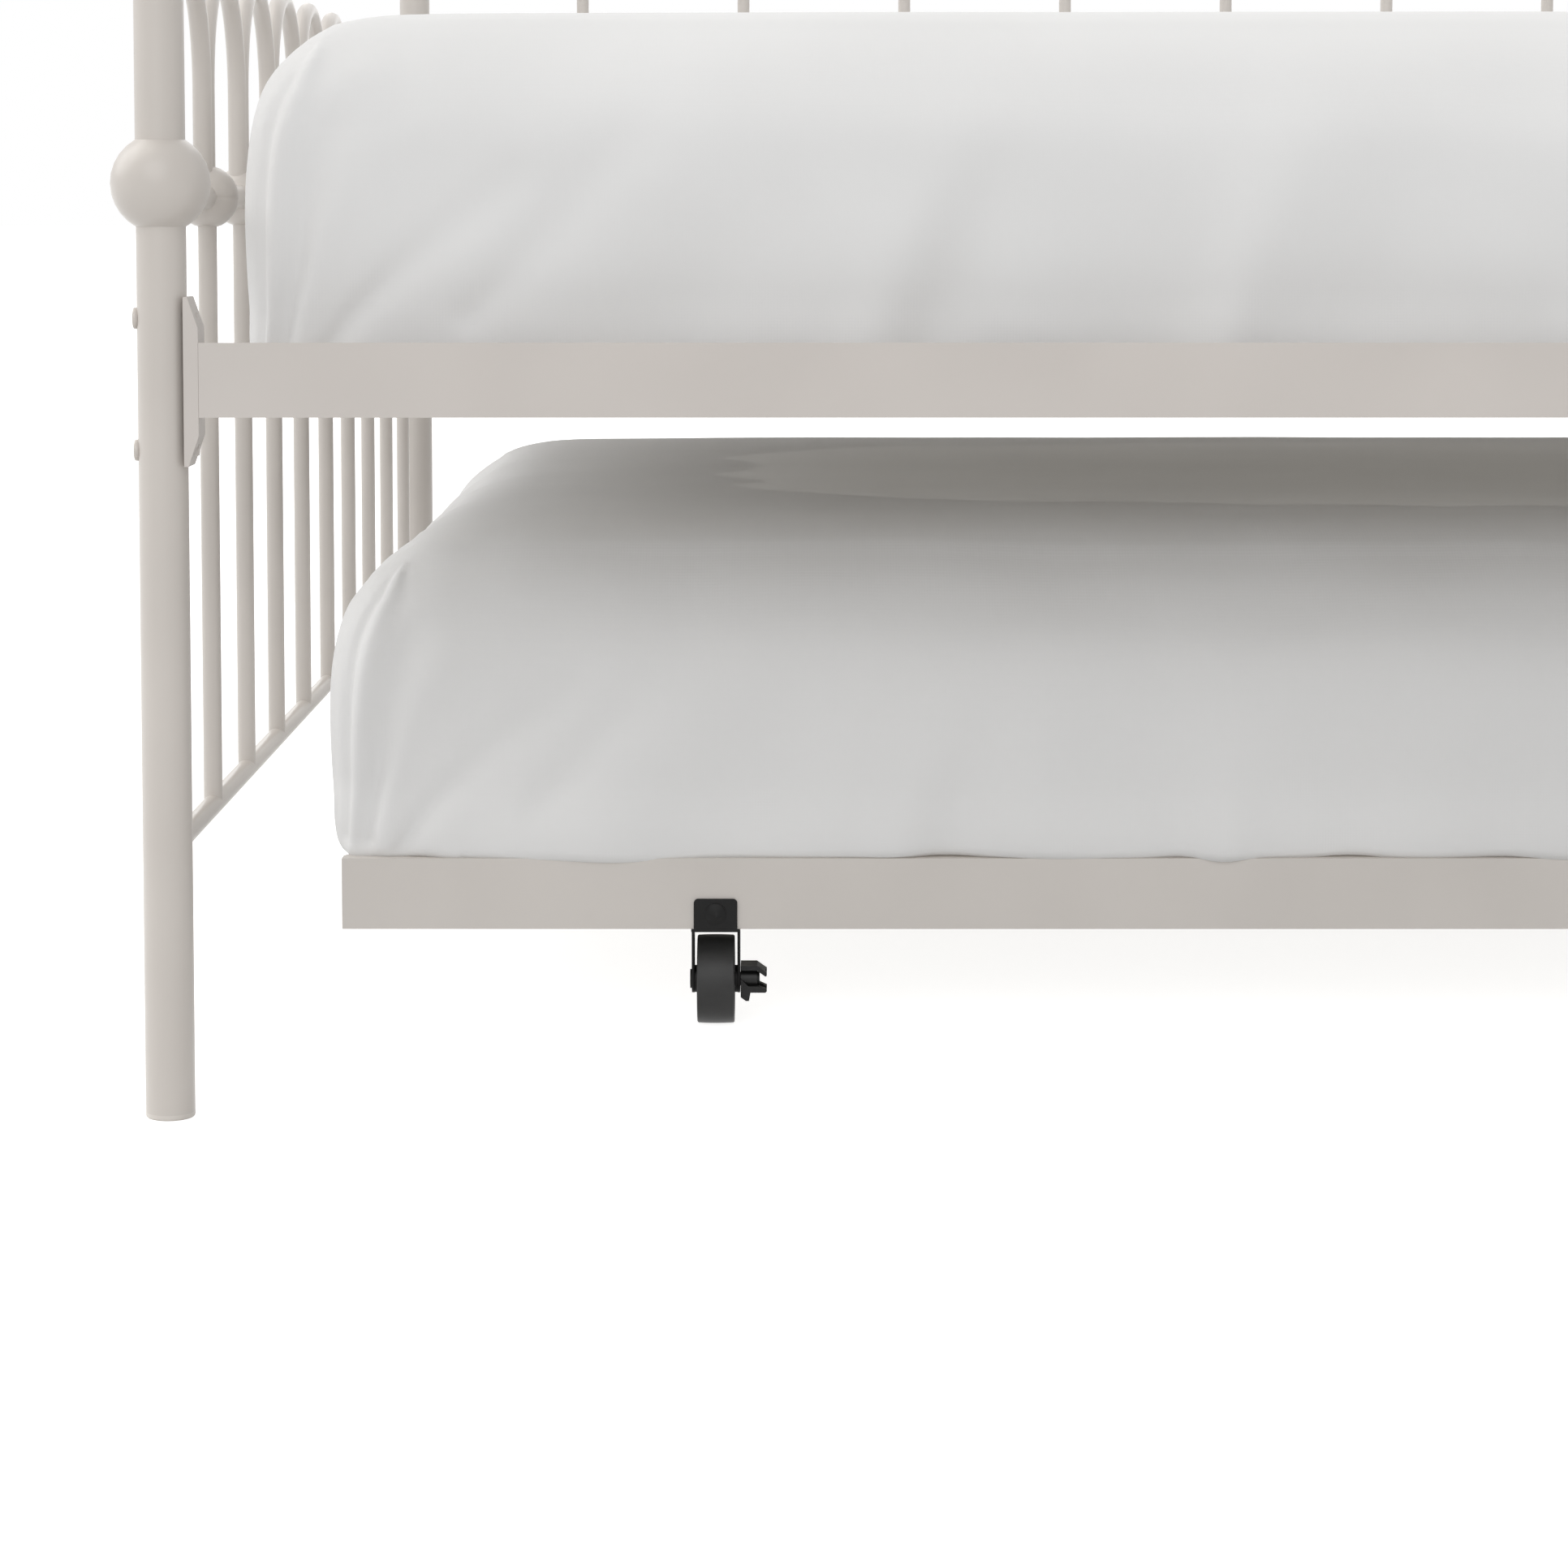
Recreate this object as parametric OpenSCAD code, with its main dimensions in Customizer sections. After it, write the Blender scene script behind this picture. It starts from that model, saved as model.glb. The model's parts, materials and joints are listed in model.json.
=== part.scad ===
// Full-size metal daybed with a pull-out twin trundle on casters, both with their mattresses.
// Millimetres. X runs along the bed, -Y is the front, Z is up, and the floor is Z = 0.

/* [Mattresses] */
// Length of the full-size mattress on the daybed
full_mattress_length = 1890; // [1800:1:2030]
// Length of the twin mattress on the trundle
twin_mattress_length = 1844; // [1750:1:1880]
// Width of the full-size mattress on the daybed
full_mattress_w = 1372; // [1200:1:1530]
// Width of the twin mattress on the trundle
twin_mattress_w = 990; // [900:1:1060]
// Height of the daybed mattress
full_mattress_h = 185.7; // [120:0.1:250]
// Height of the trundle mattress
twin_mattress_h = 181.6; // [120:0.1:240]
// Radius of the mattress corners seen from above
mattress_corner_r = 100; // [92:1:140]
// Radius of the daybed mattress's edge round the top
full_mattress_top_r = 70; // [30:1:91]
// Radius of the trundle mattress's edge round the top
twin_mattress_top_r = 88; // [30:1:91]
// Radius of the mattress edge round the bottom
mattress_bottom_r = 15; // [8:1:45]

/* [Daybed frame] */
// Distance from a mattress end to the post centres beside it
mattress_end_room = 26; // [24:0.1:60]
// Least distance from an end of the trundle mattress to the post centres beside it
trundle_end_room = 32; // [26:0.1:49]
// Distance from a mattress side to the post centres beside it
mattress_side_room = 24.5; // [16:0.1:60]
// Outside diameter of the corner posts
post_d = 25.4; // [22:0.1:30]
// Wall thickness of the post tubes
post_wall = 1.5; // [1:0.1:3]
// Height of the finial centres above the ball bars
finial_rise = 176.4; // [155:0.1:200]
// Diameter of the big balls on the posts
post_ball_d = 50.8; // [44:0.1:60]
// Thickness of the foot caps under the posts
foot_cap_h = 3; // [2:0.1:6]
// Length of the foot cap plugs inside the posts
foot_plug_h = 14; // [8:1:30]

/* [Arms] */
// Height of the ball bar in the arms
arm_bar_z = 473.6; // [465:0.1:520]
// Height of the lower rail in the arms
arm_lower_rail_z = 139.4; // [80:0.1:260]
// Number of spindles in an arm
arm_spindle_count = 9; // [8:1:12]
// Distance from a post centre to the nearest spindle of an arm
arm_first_spindle = 152.4; // [135:0.1:165]

/* [Back] */
// Height of the ball bar in the back
back_bar_z = 820; // [760:1:880]
// Gap between a rail bracket and the middle of the back's lower rail above it
back_lower_rail_up = 16.8; // [8:0.1:100]
// Number of spindles in the back
back_spindle_count = 13; // [11:1:17]
// Distance from a post centre to the nearest spindle of the back
back_first_spindle = 144.3; // [135:0.1:160]

/* [Panel rods] */
// Diameter of the spindles
spindle_d = 10.3; // [8:0.1:12]
// Diameter of the hoop rod
hoop_d = 10.5; // [8:0.1:10.9]
// Distance between the two hoop legs that share a ball
hoop_leg_pair = 11; // [11:0.1:14]
// Height of the hoop tops above the ball bar, at the rod's centre
hoop_rise = 123.3; // [100:0.1:140]
// Gap between an end hoop leg and the post beside it
hoop_post_gap = 0.3; // [0.1:0.1:2]
// Diameter of the ball bars
bar_d = 14; // [13:0.1:18]
// Diameter of the lower rails
lower_rail_d = 11.2; // [10.8:0.1:16]
// Diameter of the small balls on the ball bars
bar_ball_d = 34; // [30:0.1:40]
// Height of the big balls above the bar that meets them
ball_rise = 7.1; // [0:0.1:10]
// How far the spindles, rails and bars sit inside the post plane
spindle_inset = 1.8; // [0:0.1:3]
// How far the hoops sit inside the post plane
hoop_inset = 0.5; // [0:0.1:2]

/* [Side rails and deck] */
// Height of the underside of the side rails
side_rail_z = 362; // [355:0.1:372]
// Height of the side rail face
side_rail_h = 38; // [34:0.1:42]
// Depth of the side rail flange that carries the slats
side_rail_flange = 35; // [25:1:60]
// Sheet thickness of the side rails
side_rail_t = 2; // [1.5:0.1:3]
// Number of slats in the daybed deck
deck_slat_count = 13; // [8:1:18]
// Width of a deck slat
deck_slat_w = 40; // [30:1:60]
// Height of a deck slat
deck_slat_h = 18; // [14:0.1:20]

/* [Rail brackets] */
// Width of the bracket from the rail end to its edge at the post
bracket_w = 7.8; // [7:0.1:12]
// Depth of the bracket from front to back
bracket_depth = 22.5; // [20:0.1:26]
// Height of the bracket
bracket_h = 86.4; // [84:0.1:95]
// How far the middle of the bracket lies below the middle of the rail
bracket_drop = 1; // [0:0.1:3]
// Height of the chamfers on the bracket
bracket_chamfer_h = 15.7; // [10:0.1:18]
// Width of the chamfers on the bracket
bracket_chamfer_w = 5.4; // [3:0.1:5.5]
// Sheet thickness of the bracket
bracket_t = 1.5; // [1:0.1:2]
// How far the bracket edge wraps past the post's side
bracket_wrap = 0.6; // [0.3:0.1:1.5]
// Distance from a bracket's ends in to its two bolts, before they are lowered
bracket_bolt_in = 9.55; // [9:0.05:13]
// How far the middle of the two bolts lies below the middle of the rail
bracket_bolt_drop = 2.5; // [0:0.1:3]
// Thread diameter of the bracket bolts
bracket_bolt_d = 6; // [5:0.1:6.5]
// Diameter of the bracket bolt heads
bracket_head_d = 11; // [9:0.1:13]
// Height of the bracket bolt heads
bracket_head_h = 1.8; // [1.2:0.1:4]
// Outside diameter of the nut welded in a bracket
bracket_nut_d = 10; // [9:0.1:12]

/* [Trundle frame] */
// How far the trundle mattress reaches past each end of the trundle frame
trundle_overhang = 16; // [10:0.1:60]
// Distance from the front post centres back to the front face of the trundle
trundle_setback = 218.5; // [190:0.1:230]
// Height of the underside of the trundle rails
trundle_rail_z = 57.6; // [57:0.1:70]
// Height of the trundle rails
trundle_rail_h = 40.5; // [38:0.1:50]
// Sheet thickness of the trundle rails
trundle_rail_t = 2; // [1.5:0.1:3]
// Depth of the top flange of the trundle rails
trundle_top_flange = 16; // [14:0.1:30]
// Depth of the bottom flange of the trundle rails
trundle_bottom_flange = 25; // [20:0.1:40]
// Radius of the top flange's corners
trundle_flange_r = 6; // [3:0.1:10]
// Width of the trundle end rails
trundle_end_w = 20; // [15:1:30]
// Distance that the end rails sit in from the frame's ends
trundle_end_inset = 3; // [1:0.1:10]
// Number of slats in the trundle
trundle_slat_count = 12; // [8:1:14]
// Width of a trundle slat
trundle_slat_w = 36; // [30:1:45]
// Height of a trundle slat
trundle_slat_h = 15; // [12:0.1:17]

/* [Slat fittings] */
// Wall thickness of the slat and end rail tubes
slat_wall = 1.2; // [0.8:0.1:2]
// Thickness of the flange of a slat cap
slat_cap_t = 2; // [1.5:0.1:4]
// Length of a slat cap's plug inside the slat
slat_plug = 16; // [10:1:30]
// Distance from the rail face to a slat screw
slat_screw_in = 10; // [8:0.1:12]
// Thread diameter of the slat screws
slat_screw_d = 4; // [3:0.1:5]
// Diameter of the slat screw heads
slat_screw_head_d = 8; // [7:0.1:10]
// Height of the slat screw heads
slat_screw_head_h = 1.8; // [1:0.1:2.5]

/* [Casters] */
// Distance from the trundle's end to the middle of a caster
caster_end = 212.8; // [150:0.1:300]
// Distance from the rail face in to the wheel's centre
caster_in = 19; // [16:0.1:22]
// Diameter of the wheels
wheel_d = 50.8; // [46:0.1:50.8]
// Width of the wheels
wheel_w = 21.3; // [16:0.1:24]
// Height of the crown across the tread
wheel_crown = 0.3; // [0.2:0.1:1.5]
// Radius of the wheel's edges
wheel_edge_r = 0.6; // [0.6:0.1:2.5]
// Diameter of the hub boss on the wheel
wheel_hub_d = 18; // [14:0.1:24]
// Depth of the recess in the wheel's sides
wheel_recess = 3; // [1:0.1:5]
// Thickness of the wheel's rim around the recess
wheel_rim = 5; // [4:0.1:8]
// Thickness of the washers beside the wheel
axle_washer_t = 1.4; // [1:0.1:3]
// Diameter of the washers beside the wheel
axle_washer_d = 15.6; // [12:0.1:20]
// Sheet thickness of the fork
fork_t = 1.6; // [1.2:0.1:2]
// Width of a fork leg from front to back
fork_leg_w = 16; // [14:0.1:20]
// Width of the fork's mounting tab
fork_tab_w = 24.8; // [20:0.1:28]
// Height of the mounting tab above the rail's underside
fork_tab_h = 17.5; // [16:0.1:20]
// Radius of the mounting tab's top corners
fork_tab_r = 2.5; // [1:0.1:4]
// Diameter of the axle
axle_d = 8; // [6:0.1:9]
// Diameter of the axle's end heads
axle_head_d = 11; // [10:0.1:13]
// Height of the axle's end heads
axle_head_h = 1; // [0.6:0.1:2]
// Height of the caster bolt above the rail's underside
caster_bolt_up = 8.8; // [8.5:0.1:10]
// Thread diameter of the caster bolts
caster_bolt_d = 6; // [5:0.1:6.5]
// Diameter of the caster bolt heads
caster_head_d = 12; // [10:0.1:13]
// Height of the caster bolt heads
caster_head_h = 2; // [1.5:0.1:3.5]
// Width across the flats of the caster nuts
caster_nut_w = 10; // [9:0.1:12]
// Height of the caster nuts
caster_nut_h = 5; // [4:0.1:6]

/* [Brake levers] */
// Length of the brake lever's body along the axle
lever_body_l = 9.6; // [8:0.1:14]
// Length of the brake lever's wings along the axle
lever_wing_l = 15; // [12:0.1:18]
// Width of the wings from front to back
lever_wing_w = 18; // [14:0.1:20]
// Height of the upper wing above the axle
lever_upper = 8.8; // [7:0.1:11]
// Depth of the lower wing below the axle
lever_lower = 6.6; // [6:0.1:8]
// Thickness of the wings
lever_wing_t = 2.6; // [2:0.1:3]

/* [Clearances] */
// Gap between a mattress and what it lies on
mattress_gap = 0.3; // [0.2:0.05:0.5]
// Gap between a slat cap and the rail beside it
slat_end_gap = 0.3; // [0.1:0.05:1]
// Gap round a plug in its tube
plug_gap = 0.1; // [0.05:0.01:0.3]
// Gap round a bolt or screw in its hole
bolt_gap = 0.2; // [0.1:0.05:0.5]
// Gap round the axle in a wheel and in a brake lever
axle_gap = 0.05; // [0.02:0.01:0.09]
// Gap beside a part that turns on an axle
side_gap = 0.25; // [0.1:0.05:0.5]

/* [Hidden] */

$fn = 48;
CUT = 1; // how far a cutting tool runs past what it cuts

POST_PAINT = [0.80, 0.78, 0.75];
RAIL_PAINT = [0.77, 0.75, 0.73];
FABRIC = [0.90, 0.90, 0.90];
PLASTIC = [0.75, 0.74, 0.71];
STEEL = [0.70, 0.70, 0.71];
CASTER_BLACK = [0.15, 0.15, 0.15];
WHEEL_GREY = [0.24, 0.24, 0.24];

frame_length = max(full_mattress_length + 2 * mattress_end_room,
    twin_mattress_length + 2 * trundle_end_room);
frame_depth = full_mattress_w + 2 * mattress_side_room;
half_length = frame_length / 2;
half_depth = frame_depth / 2;
post_r = post_d / 2;
front_post_h = arm_bar_z + finial_rise;
rear_post_h = back_bar_z + finial_rise;

end_leg = post_r + hoop_d / 2 + hoop_post_gap;

rail_mid_z = side_rail_z + side_rail_h / 2;
bracket_mid_z = rail_mid_z - bracket_drop;
bracket_bolt_pitch = bracket_h - 2 * bracket_bolt_in;
bracket_edge_x = half_length - post_r + bracket_wrap;
rail_end_x = bracket_edge_x - bracket_w;
rail_face_y = half_depth + bracket_depth / 2;
back_lower_rail_z = bracket_mid_z + bracket_h / 2 + back_lower_rail_up;

slat_margin = 55; // from the end of a row of slats to the middle of its last slat
deck_slat_z = side_rail_z + side_rail_t;
deck_slat_end = rail_face_y - side_rail_t - slat_end_gap;
deck_slat_reach = rail_end_x - slat_margin;
full_mattress_z = deck_slat_z + deck_slat_h + mattress_gap;

trundle_length = twin_mattress_length - 2 * trundle_overhang;
trundle_mid_y = trundle_setback - half_depth + twin_mattress_w / 2;
trundle_half = twin_mattress_w / 2;
trundle_rail_top = trundle_rail_z + trundle_rail_h;
trundle_slat_top = trundle_rail_top - trundle_rail_t;
trundle_slat_end = trundle_half - trundle_rail_t - slat_end_gap;
trundle_end_x = trundle_length / 2 - trundle_end_inset;
trundle_slat_reach = trundle_end_x - trundle_end_w - slat_margin;
twin_mattress_z = trundle_rail_top + mattress_gap;

caster_x = trundle_length / 2 - caster_end;
caster_y = trundle_half - caster_in;
wheel_r = wheel_d / 2;
rail_over_axle = trundle_rail_z - wheel_r;
fork_inner_x = wheel_w / 2 + side_gap + axle_washer_t;
fork_outer_x = fork_inner_x + fork_t;
lever_x = fork_outer_x + side_gap;
lever_end_x = lever_x + lever_body_l + side_gap;

// Positions of count rods, symmetric between two posts that stand span apart
function rod_x(span, first, count, i) = first + i * (span - 2 * first) / (count - 1);

// Positions of count slats between -reach and reach
function slat_x(reach, count, i) = reach * (2 * i / (count - 1) - 1);

// ---------------------------------------------------------------- placing

// The children are drawn for the left arm, whose local X runs from the front post to the rear post
module left_arm() {
    translate([-half_length, -half_depth, 0]) rotate([0, 0, 90]) children();
}

module right_arm() {
    mirror([1, 0, 0]) left_arm() children();
}

// The children are drawn for the back, whose local X runs from the left post to the right post
module back_panel() {
    translate([-half_length, half_depth, 0]) children();
}

module at_each_post() {
    for (sx = [-1, 1], sy = [-1, 1])
        translate([sx * half_length, sy * half_depth, 0]) children();
}

// The children are drawn at the front-left corner, and repeated at the other three corners
module at_each_corner() {
    for (mx = [0, 1], my = [0, 1])
        mirror([mx, 0, 0]) mirror([0, my, 0]) children();
}

// ---------------------------------------------------------------- shared shapes

module rod_along_x(x0, x1, d) {
    translate([x0, 0, 0]) rotate([0, 90, 0]) cylinder(h = x1 - x0, d = d);
}

module ring_along_x(x0, x1, outer_d, inner_d) {
    difference() {
        rod_along_x(x0, x1, outer_d);
        rod_along_x(x0 - CUT, x1 + CUT, inner_d);
    }
}

// A low domed bolt head along -X, with its flat side at x = 0
module domed_head(d, h) {
    edge = h / 3;
    dome_r = (d * d / 4 + (h - edge) * (h - edge)) / (2 * (h - edge));
    rotate([0, -90, 0]) intersection() {
        cylinder(h = h, d = d);
        translate([0, 0, h - dome_r]) sphere(r = dome_r);
    }
}

// ---------------------------------------------------------------- posts

module post(height) {
    color(POST_PAINT) difference() {
        translate([0, 0, foot_cap_h]) cylinder(h = height - foot_cap_h, d = post_d);
        cylinder(h = height - post_wall, d = post_d - 2 * post_wall);
        bracket_bolt_holes();
    }
}

module bracket_bolt_holes() {
    for (s = [-1, 1])
        translate([0, 0, bracket_bolt_z(s)]) rod_along_x(-post_d, post_d, bracket_bolt_d + 2 * bolt_gap);
}

function bracket_bolt_z(s) = rail_mid_z - bracket_bolt_drop + s * bracket_bolt_pitch / 2;

module front_left_post() {
    translate([-half_length, -half_depth, 0]) post(front_post_h);
}

module front_right_post() {
    translate([half_length, -half_depth, 0]) post(front_post_h);
}

module rear_left_post() {
    translate([-half_length, half_depth, 0]) post(rear_post_h);
}

module rear_right_post() {
    translate([half_length, half_depth, 0]) post(rear_post_h);
}

module foot_caps() {
    fillet = foot_cap_h / 2;
    color(PLASTIC) at_each_post() {
        translate([0, 0, fillet]) cylinder(h = foot_cap_h - fillet, d = post_d);
        cylinder(h = fillet, r = post_r - fillet);
        translate([0, 0, fillet]) rotate_extrude() intersection() {
            translate([post_r - fillet, 0]) circle(r = fillet);
            translate([post_r - fillet, -fillet]) square(fillet);
        }
        cylinder(h = foot_cap_h + foot_plug_h, r = post_r - post_wall - plug_gap);
    }
}

// The solid outsides of the posts, to cut what meets them
module post_cores() {
    at_each_post() cylinder(h = rear_post_h, d = post_d);
}

module post_balls() {
    color(POST_PAINT) difference() {
        union() {
            at_each_post() translate([0, 0, arm_bar_z + ball_rise]) sphere(d = post_ball_d);
            for (sx = [-1, 1])
                translate([sx * half_length, half_depth, back_bar_z + ball_rise]) sphere(d = post_ball_d);
        }
        post_cores();
        left_arm() ball_cutters(frame_depth, arm_bar_z);
        right_arm() ball_cutters(frame_depth, arm_bar_z);
        back_panel() ball_cutters(frame_length, back_bar_z);
    }
}

// The bar and the two end hoop legs of a panel, to cut the big balls that they enter
module ball_cutters(span, bar_z) {
    panel_bar_core(span, bar_z);
    for (x = [end_leg, span - end_leg])
        translate([x, -hoop_inset, bar_z]) cylinder(h = post_ball_d, d = hoop_d);
}

module post_finials() {
    color(POST_PAINT) difference() {
        for (sx = [-1, 1], sy = [-1, 1])
            translate([sx * half_length, sy * half_depth, sy < 0 ? front_post_h : rear_post_h])
                sphere(d = post_ball_d);
        for (sx = [-1, 1], sy = [-1, 1])
            translate([sx * half_length, sy * half_depth, 0])
                cylinder(h = sy < 0 ? front_post_h : rear_post_h, d = post_d);
    }
}

// ---------------------------------------------------------------- panels between two posts

// Each of these is drawn from a post centre at x = 0 to another at x = span, and inside is at -Y

module panel_posts(span) {
    for (x = [0, span]) translate([x, 0, 0]) cylinder(h = rear_post_h, d = post_d);
}

module panel_rod(span, z, d) {
    translate([0, -spindle_inset, z]) rod_along_x(0, span, d);
}

module panel_bar_core(span, z) {
    panel_rod(span, z, bar_d);
}

module panel_bar(span, z) {
    color(POST_PAINT) difference() {
        panel_bar_core(span, z);
        panel_posts(span);
    }
}

module panel_lower_rail(span, z) {
    color(POST_PAINT) difference() {
        panel_rod(span, z, lower_rail_d);
        panel_posts(span);
    }
}

module spindle_cores(span, first, count, z0, z1) {
    for (i = [0:count - 1])
        translate([rod_x(span, first, count, i), -spindle_inset, z0]) cylinder(h = z1 - z0, d = spindle_d);
}

module panel_spindles(span, first, count, lower_z, bar_z) {
    color(POST_PAINT) difference() {
        spindle_cores(span, first, count, lower_z, bar_z);
        panel_rod(span, lower_z, lower_rail_d);
        panel_bar_core(span, bar_z);
    }
}

// An arch of rod on top of the bar, drawn about its middle, with its legs width apart
module hoop(width, bar_z) {
    arch_r = width / 2;
    leg_h = hoop_rise - arch_r - bar_d / 2;
    translate([0, -hoop_inset, bar_z + hoop_rise - arch_r]) {
        for (s = [-1, 1])
            translate([s * arch_r, 0, -leg_h]) cylinder(h = leg_h, d = hoop_d);
        rotate([90, 0, 0]) rotate_extrude(angle = 180) translate([arch_r, 0]) circle(d = hoop_d);
    }
}

module panel_hoops(span, first, count, bar_z) {
    color(POST_PAINT) for (i = [0:count]) {
        left = i == 0 ? end_leg : rod_x(span, first, count, i - 1) + hoop_leg_pair / 2;
        right = i == count ? span - end_leg : rod_x(span, first, count, i) - hoop_leg_pair / 2;
        translate([(left + right) / 2, 0, 0]) hoop(right - left, bar_z);
    }
}

module panel_balls(span, first, count, lower_z, bar_z) {
    color(POST_PAINT) difference() {
        for (i = [0:count - 1])
            translate([rod_x(span, first, count, i), -spindle_inset, bar_z]) sphere(d = bar_ball_d);
        panel_bar_core(span, bar_z);
        spindle_cores(span, first, count, lower_z, bar_z);
        for (i = [0:count - 1], s = [-1, 1])
            translate([rod_x(span, first, count, i) + s * hoop_leg_pair / 2, -hoop_inset, bar_z])
                cylinder(h = bar_ball_d, d = hoop_d);
    }
}

module left_arm_lower_rail() {
    left_arm() panel_lower_rail(frame_depth, arm_lower_rail_z);
}

module left_arm_bar() {
    left_arm() panel_bar(frame_depth, arm_bar_z);
}

module left_arm_spindles() {
    left_arm()
        panel_spindles(frame_depth, arm_first_spindle, arm_spindle_count, arm_lower_rail_z, arm_bar_z);
}

module left_arm_hoops() {
    left_arm() panel_hoops(frame_depth, arm_first_spindle, arm_spindle_count, arm_bar_z);
}

module left_arm_bar_balls() {
    left_arm() panel_balls(frame_depth, arm_first_spindle, arm_spindle_count, arm_lower_rail_z, arm_bar_z);
}

module right_arm_lower_rail() {
    right_arm() panel_lower_rail(frame_depth, arm_lower_rail_z);
}

module right_arm_bar() {
    right_arm() panel_bar(frame_depth, arm_bar_z);
}

module right_arm_spindles() {
    right_arm()
        panel_spindles(frame_depth, arm_first_spindle, arm_spindle_count, arm_lower_rail_z, arm_bar_z);
}

module right_arm_hoops() {
    right_arm() panel_hoops(frame_depth, arm_first_spindle, arm_spindle_count, arm_bar_z);
}

module right_arm_bar_balls() {
    right_arm() panel_balls(frame_depth, arm_first_spindle, arm_spindle_count, arm_lower_rail_z, arm_bar_z);
}

module back_lower_rail() {
    back_panel() panel_lower_rail(frame_length, back_lower_rail_z);
}

module back_bar() {
    back_panel() panel_bar(frame_length, back_bar_z);
}

module back_spindles() {
    back_panel()
        panel_spindles(frame_length, back_first_spindle, back_spindle_count, back_lower_rail_z,
            back_bar_z);
}

module back_hoops() {
    back_panel() panel_hoops(frame_length, back_first_spindle, back_spindle_count, back_bar_z);
}

module back_bar_balls() {
    back_panel()
        panel_balls(frame_length, back_first_spindle, back_spindle_count, back_lower_rail_z, back_bar_z);
}

// ---------------------------------------------------------------- side rails and brackets

function deck_slat_x(i) = slat_x(deck_slat_reach, deck_slat_count, i);

// An angle with its face outside, at -Y, and its flange inside at the bottom
module side_rail() {
    color(RAIL_PAINT) difference() {
        translate([-rail_end_x, -rail_face_y, side_rail_z]) {
            cube([2 * rail_end_x, side_rail_t, side_rail_h]);
            cube([2 * rail_end_x, side_rail_flange, side_rail_t]);
        }
        for (i = [0:deck_slat_count - 1])
            translate([deck_slat_x(i), slat_screw_in - rail_face_y, side_rail_z - CUT])
                cylinder(h = side_rail_t + 2 * CUT, d = slat_screw_d + 2 * bolt_gap);
    }
}

module front_side_rail() {
    side_rail();
}

module rear_side_rail() {
    mirror([0, 1, 0]) side_rail();
}

// The outline of a bracket inside a wall, with the post's side open by reach
module bracket_outline(wall, reach) {
    half = bracket_h / 2 - wall;
    straight = bracket_h / 2 - bracket_chamfer_h;
    deep = bracket_w - wall;
    shallow = bracket_w - bracket_chamfer_w - wall;
    polygon([[-reach, -half], [shallow, -half], [deep, -straight], [deep, straight], [shallow, half],
        [-reach, half]]);
}

module bracket_block(wall, reach) {
    translate([-bracket_edge_x, bracket_depth / 2 - wall - half_depth, bracket_mid_z]) rotate([90, 0, 0])
        linear_extrude(bracket_depth - 2 * wall) bracket_outline(wall, reach);
}

// The hollow of a bracket, carried on through the post
module bracket_room() {
    bracket_block(bracket_t, 2 * post_d);
}

// A pressed tray that opens towards the post and is coped over the post's side
module rail_brackets() {
    color(RAIL_PAINT) at_each_corner() difference() {
        bracket_block(0, 0);
        bracket_room();
        translate([-half_length, -half_depth, 0]) cylinder(h = rear_post_h, d = post_d);
    }
}

module at_bracket_bolts() {
    at_each_corner() for (s = [-1, 1])
        translate([-half_length - post_r, -half_depth, bracket_bolt_z(s)]) children();
}

// Threaded bosses inside the brackets
module bracket_nuts() {
    color(STEEL) difference() {
        intersection() {
            at_bracket_bolts() rod_along_x(post_d + side_gap, 2 * post_d, bracket_nut_d);
            at_each_corner() bracket_room();
        }
        at_bracket_bolts() rod_along_x(0, 2 * post_d, bracket_bolt_d);
    }
}

module post_bolts() {
    color(RAIL_PAINT) {
        at_bracket_bolts() domed_head(bracket_head_d, bracket_head_h);
        intersection() {
            at_bracket_bolts() rod_along_x(0, 2 * post_d, bracket_bolt_d);
            at_each_corner() bracket_room();
        }
    }
}

// ---------------------------------------------------------------- slats

// These are drawn along Y about x = 0, with the slat's top at z = 0 and its caps' faces at -end and end

module slat(width, height, end) {
    tube_end = end - slat_cap_t;
    translate([-width / 2, -tube_end, -height]) difference() {
        cube([width, 2 * tube_end, height]);
        translate([slat_wall, -CUT, slat_wall])
            cube([width - 2 * slat_wall, 2 * (tube_end + CUT), height - 2 * slat_wall]);
    }
}

module slat_cap(width, height, end) {
    inset = slat_wall + plug_gap;
    translate([-width / 2, -end, -height]) cube([width, slat_cap_t, height]);
    translate([inset - width / 2, slat_cap_t - end, inset - height])
        cube([width - 2 * inset, slat_plug, height - 2 * inset]);
}

// The children are drawn at the screw of a slat's front end, and repeated at its rear end
module at_slat_screws(face_y) {
    for (m = [0, 1]) mirror([0, m, 0]) translate([0, slat_screw_in - face_y, 0]) children();
}

// A screw from below, with its head under z = 0
module slat_screw(length) {
    translate([0, 0, -slat_screw_head_h]) cylinder(h = slat_screw_head_h, d = slat_screw_head_d);
    cylinder(h = length, d = slat_screw_d);
}

// Holes for the screws, through a slat and its caps
module slat_screw_holes(height, face_y, d) {
    translate([0, 0, -height - CUT]) at_slat_screws(face_y) cylinder(h = height + 2 * CUT, d = d);
}

// The children are drawn at the middle of a deck slat's top
module at_deck_slats() {
    for (i = [0:deck_slat_count - 1])
        translate([deck_slat_x(i), 0, deck_slat_z + deck_slat_h]) children();
}

module deck_slats() {
    color(STEEL) at_deck_slats() difference() {
        slat(deck_slat_w, deck_slat_h, deck_slat_end);
        slat_screw_holes(deck_slat_h, rail_face_y, slat_screw_d + 2 * bolt_gap);
    }
}

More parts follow.
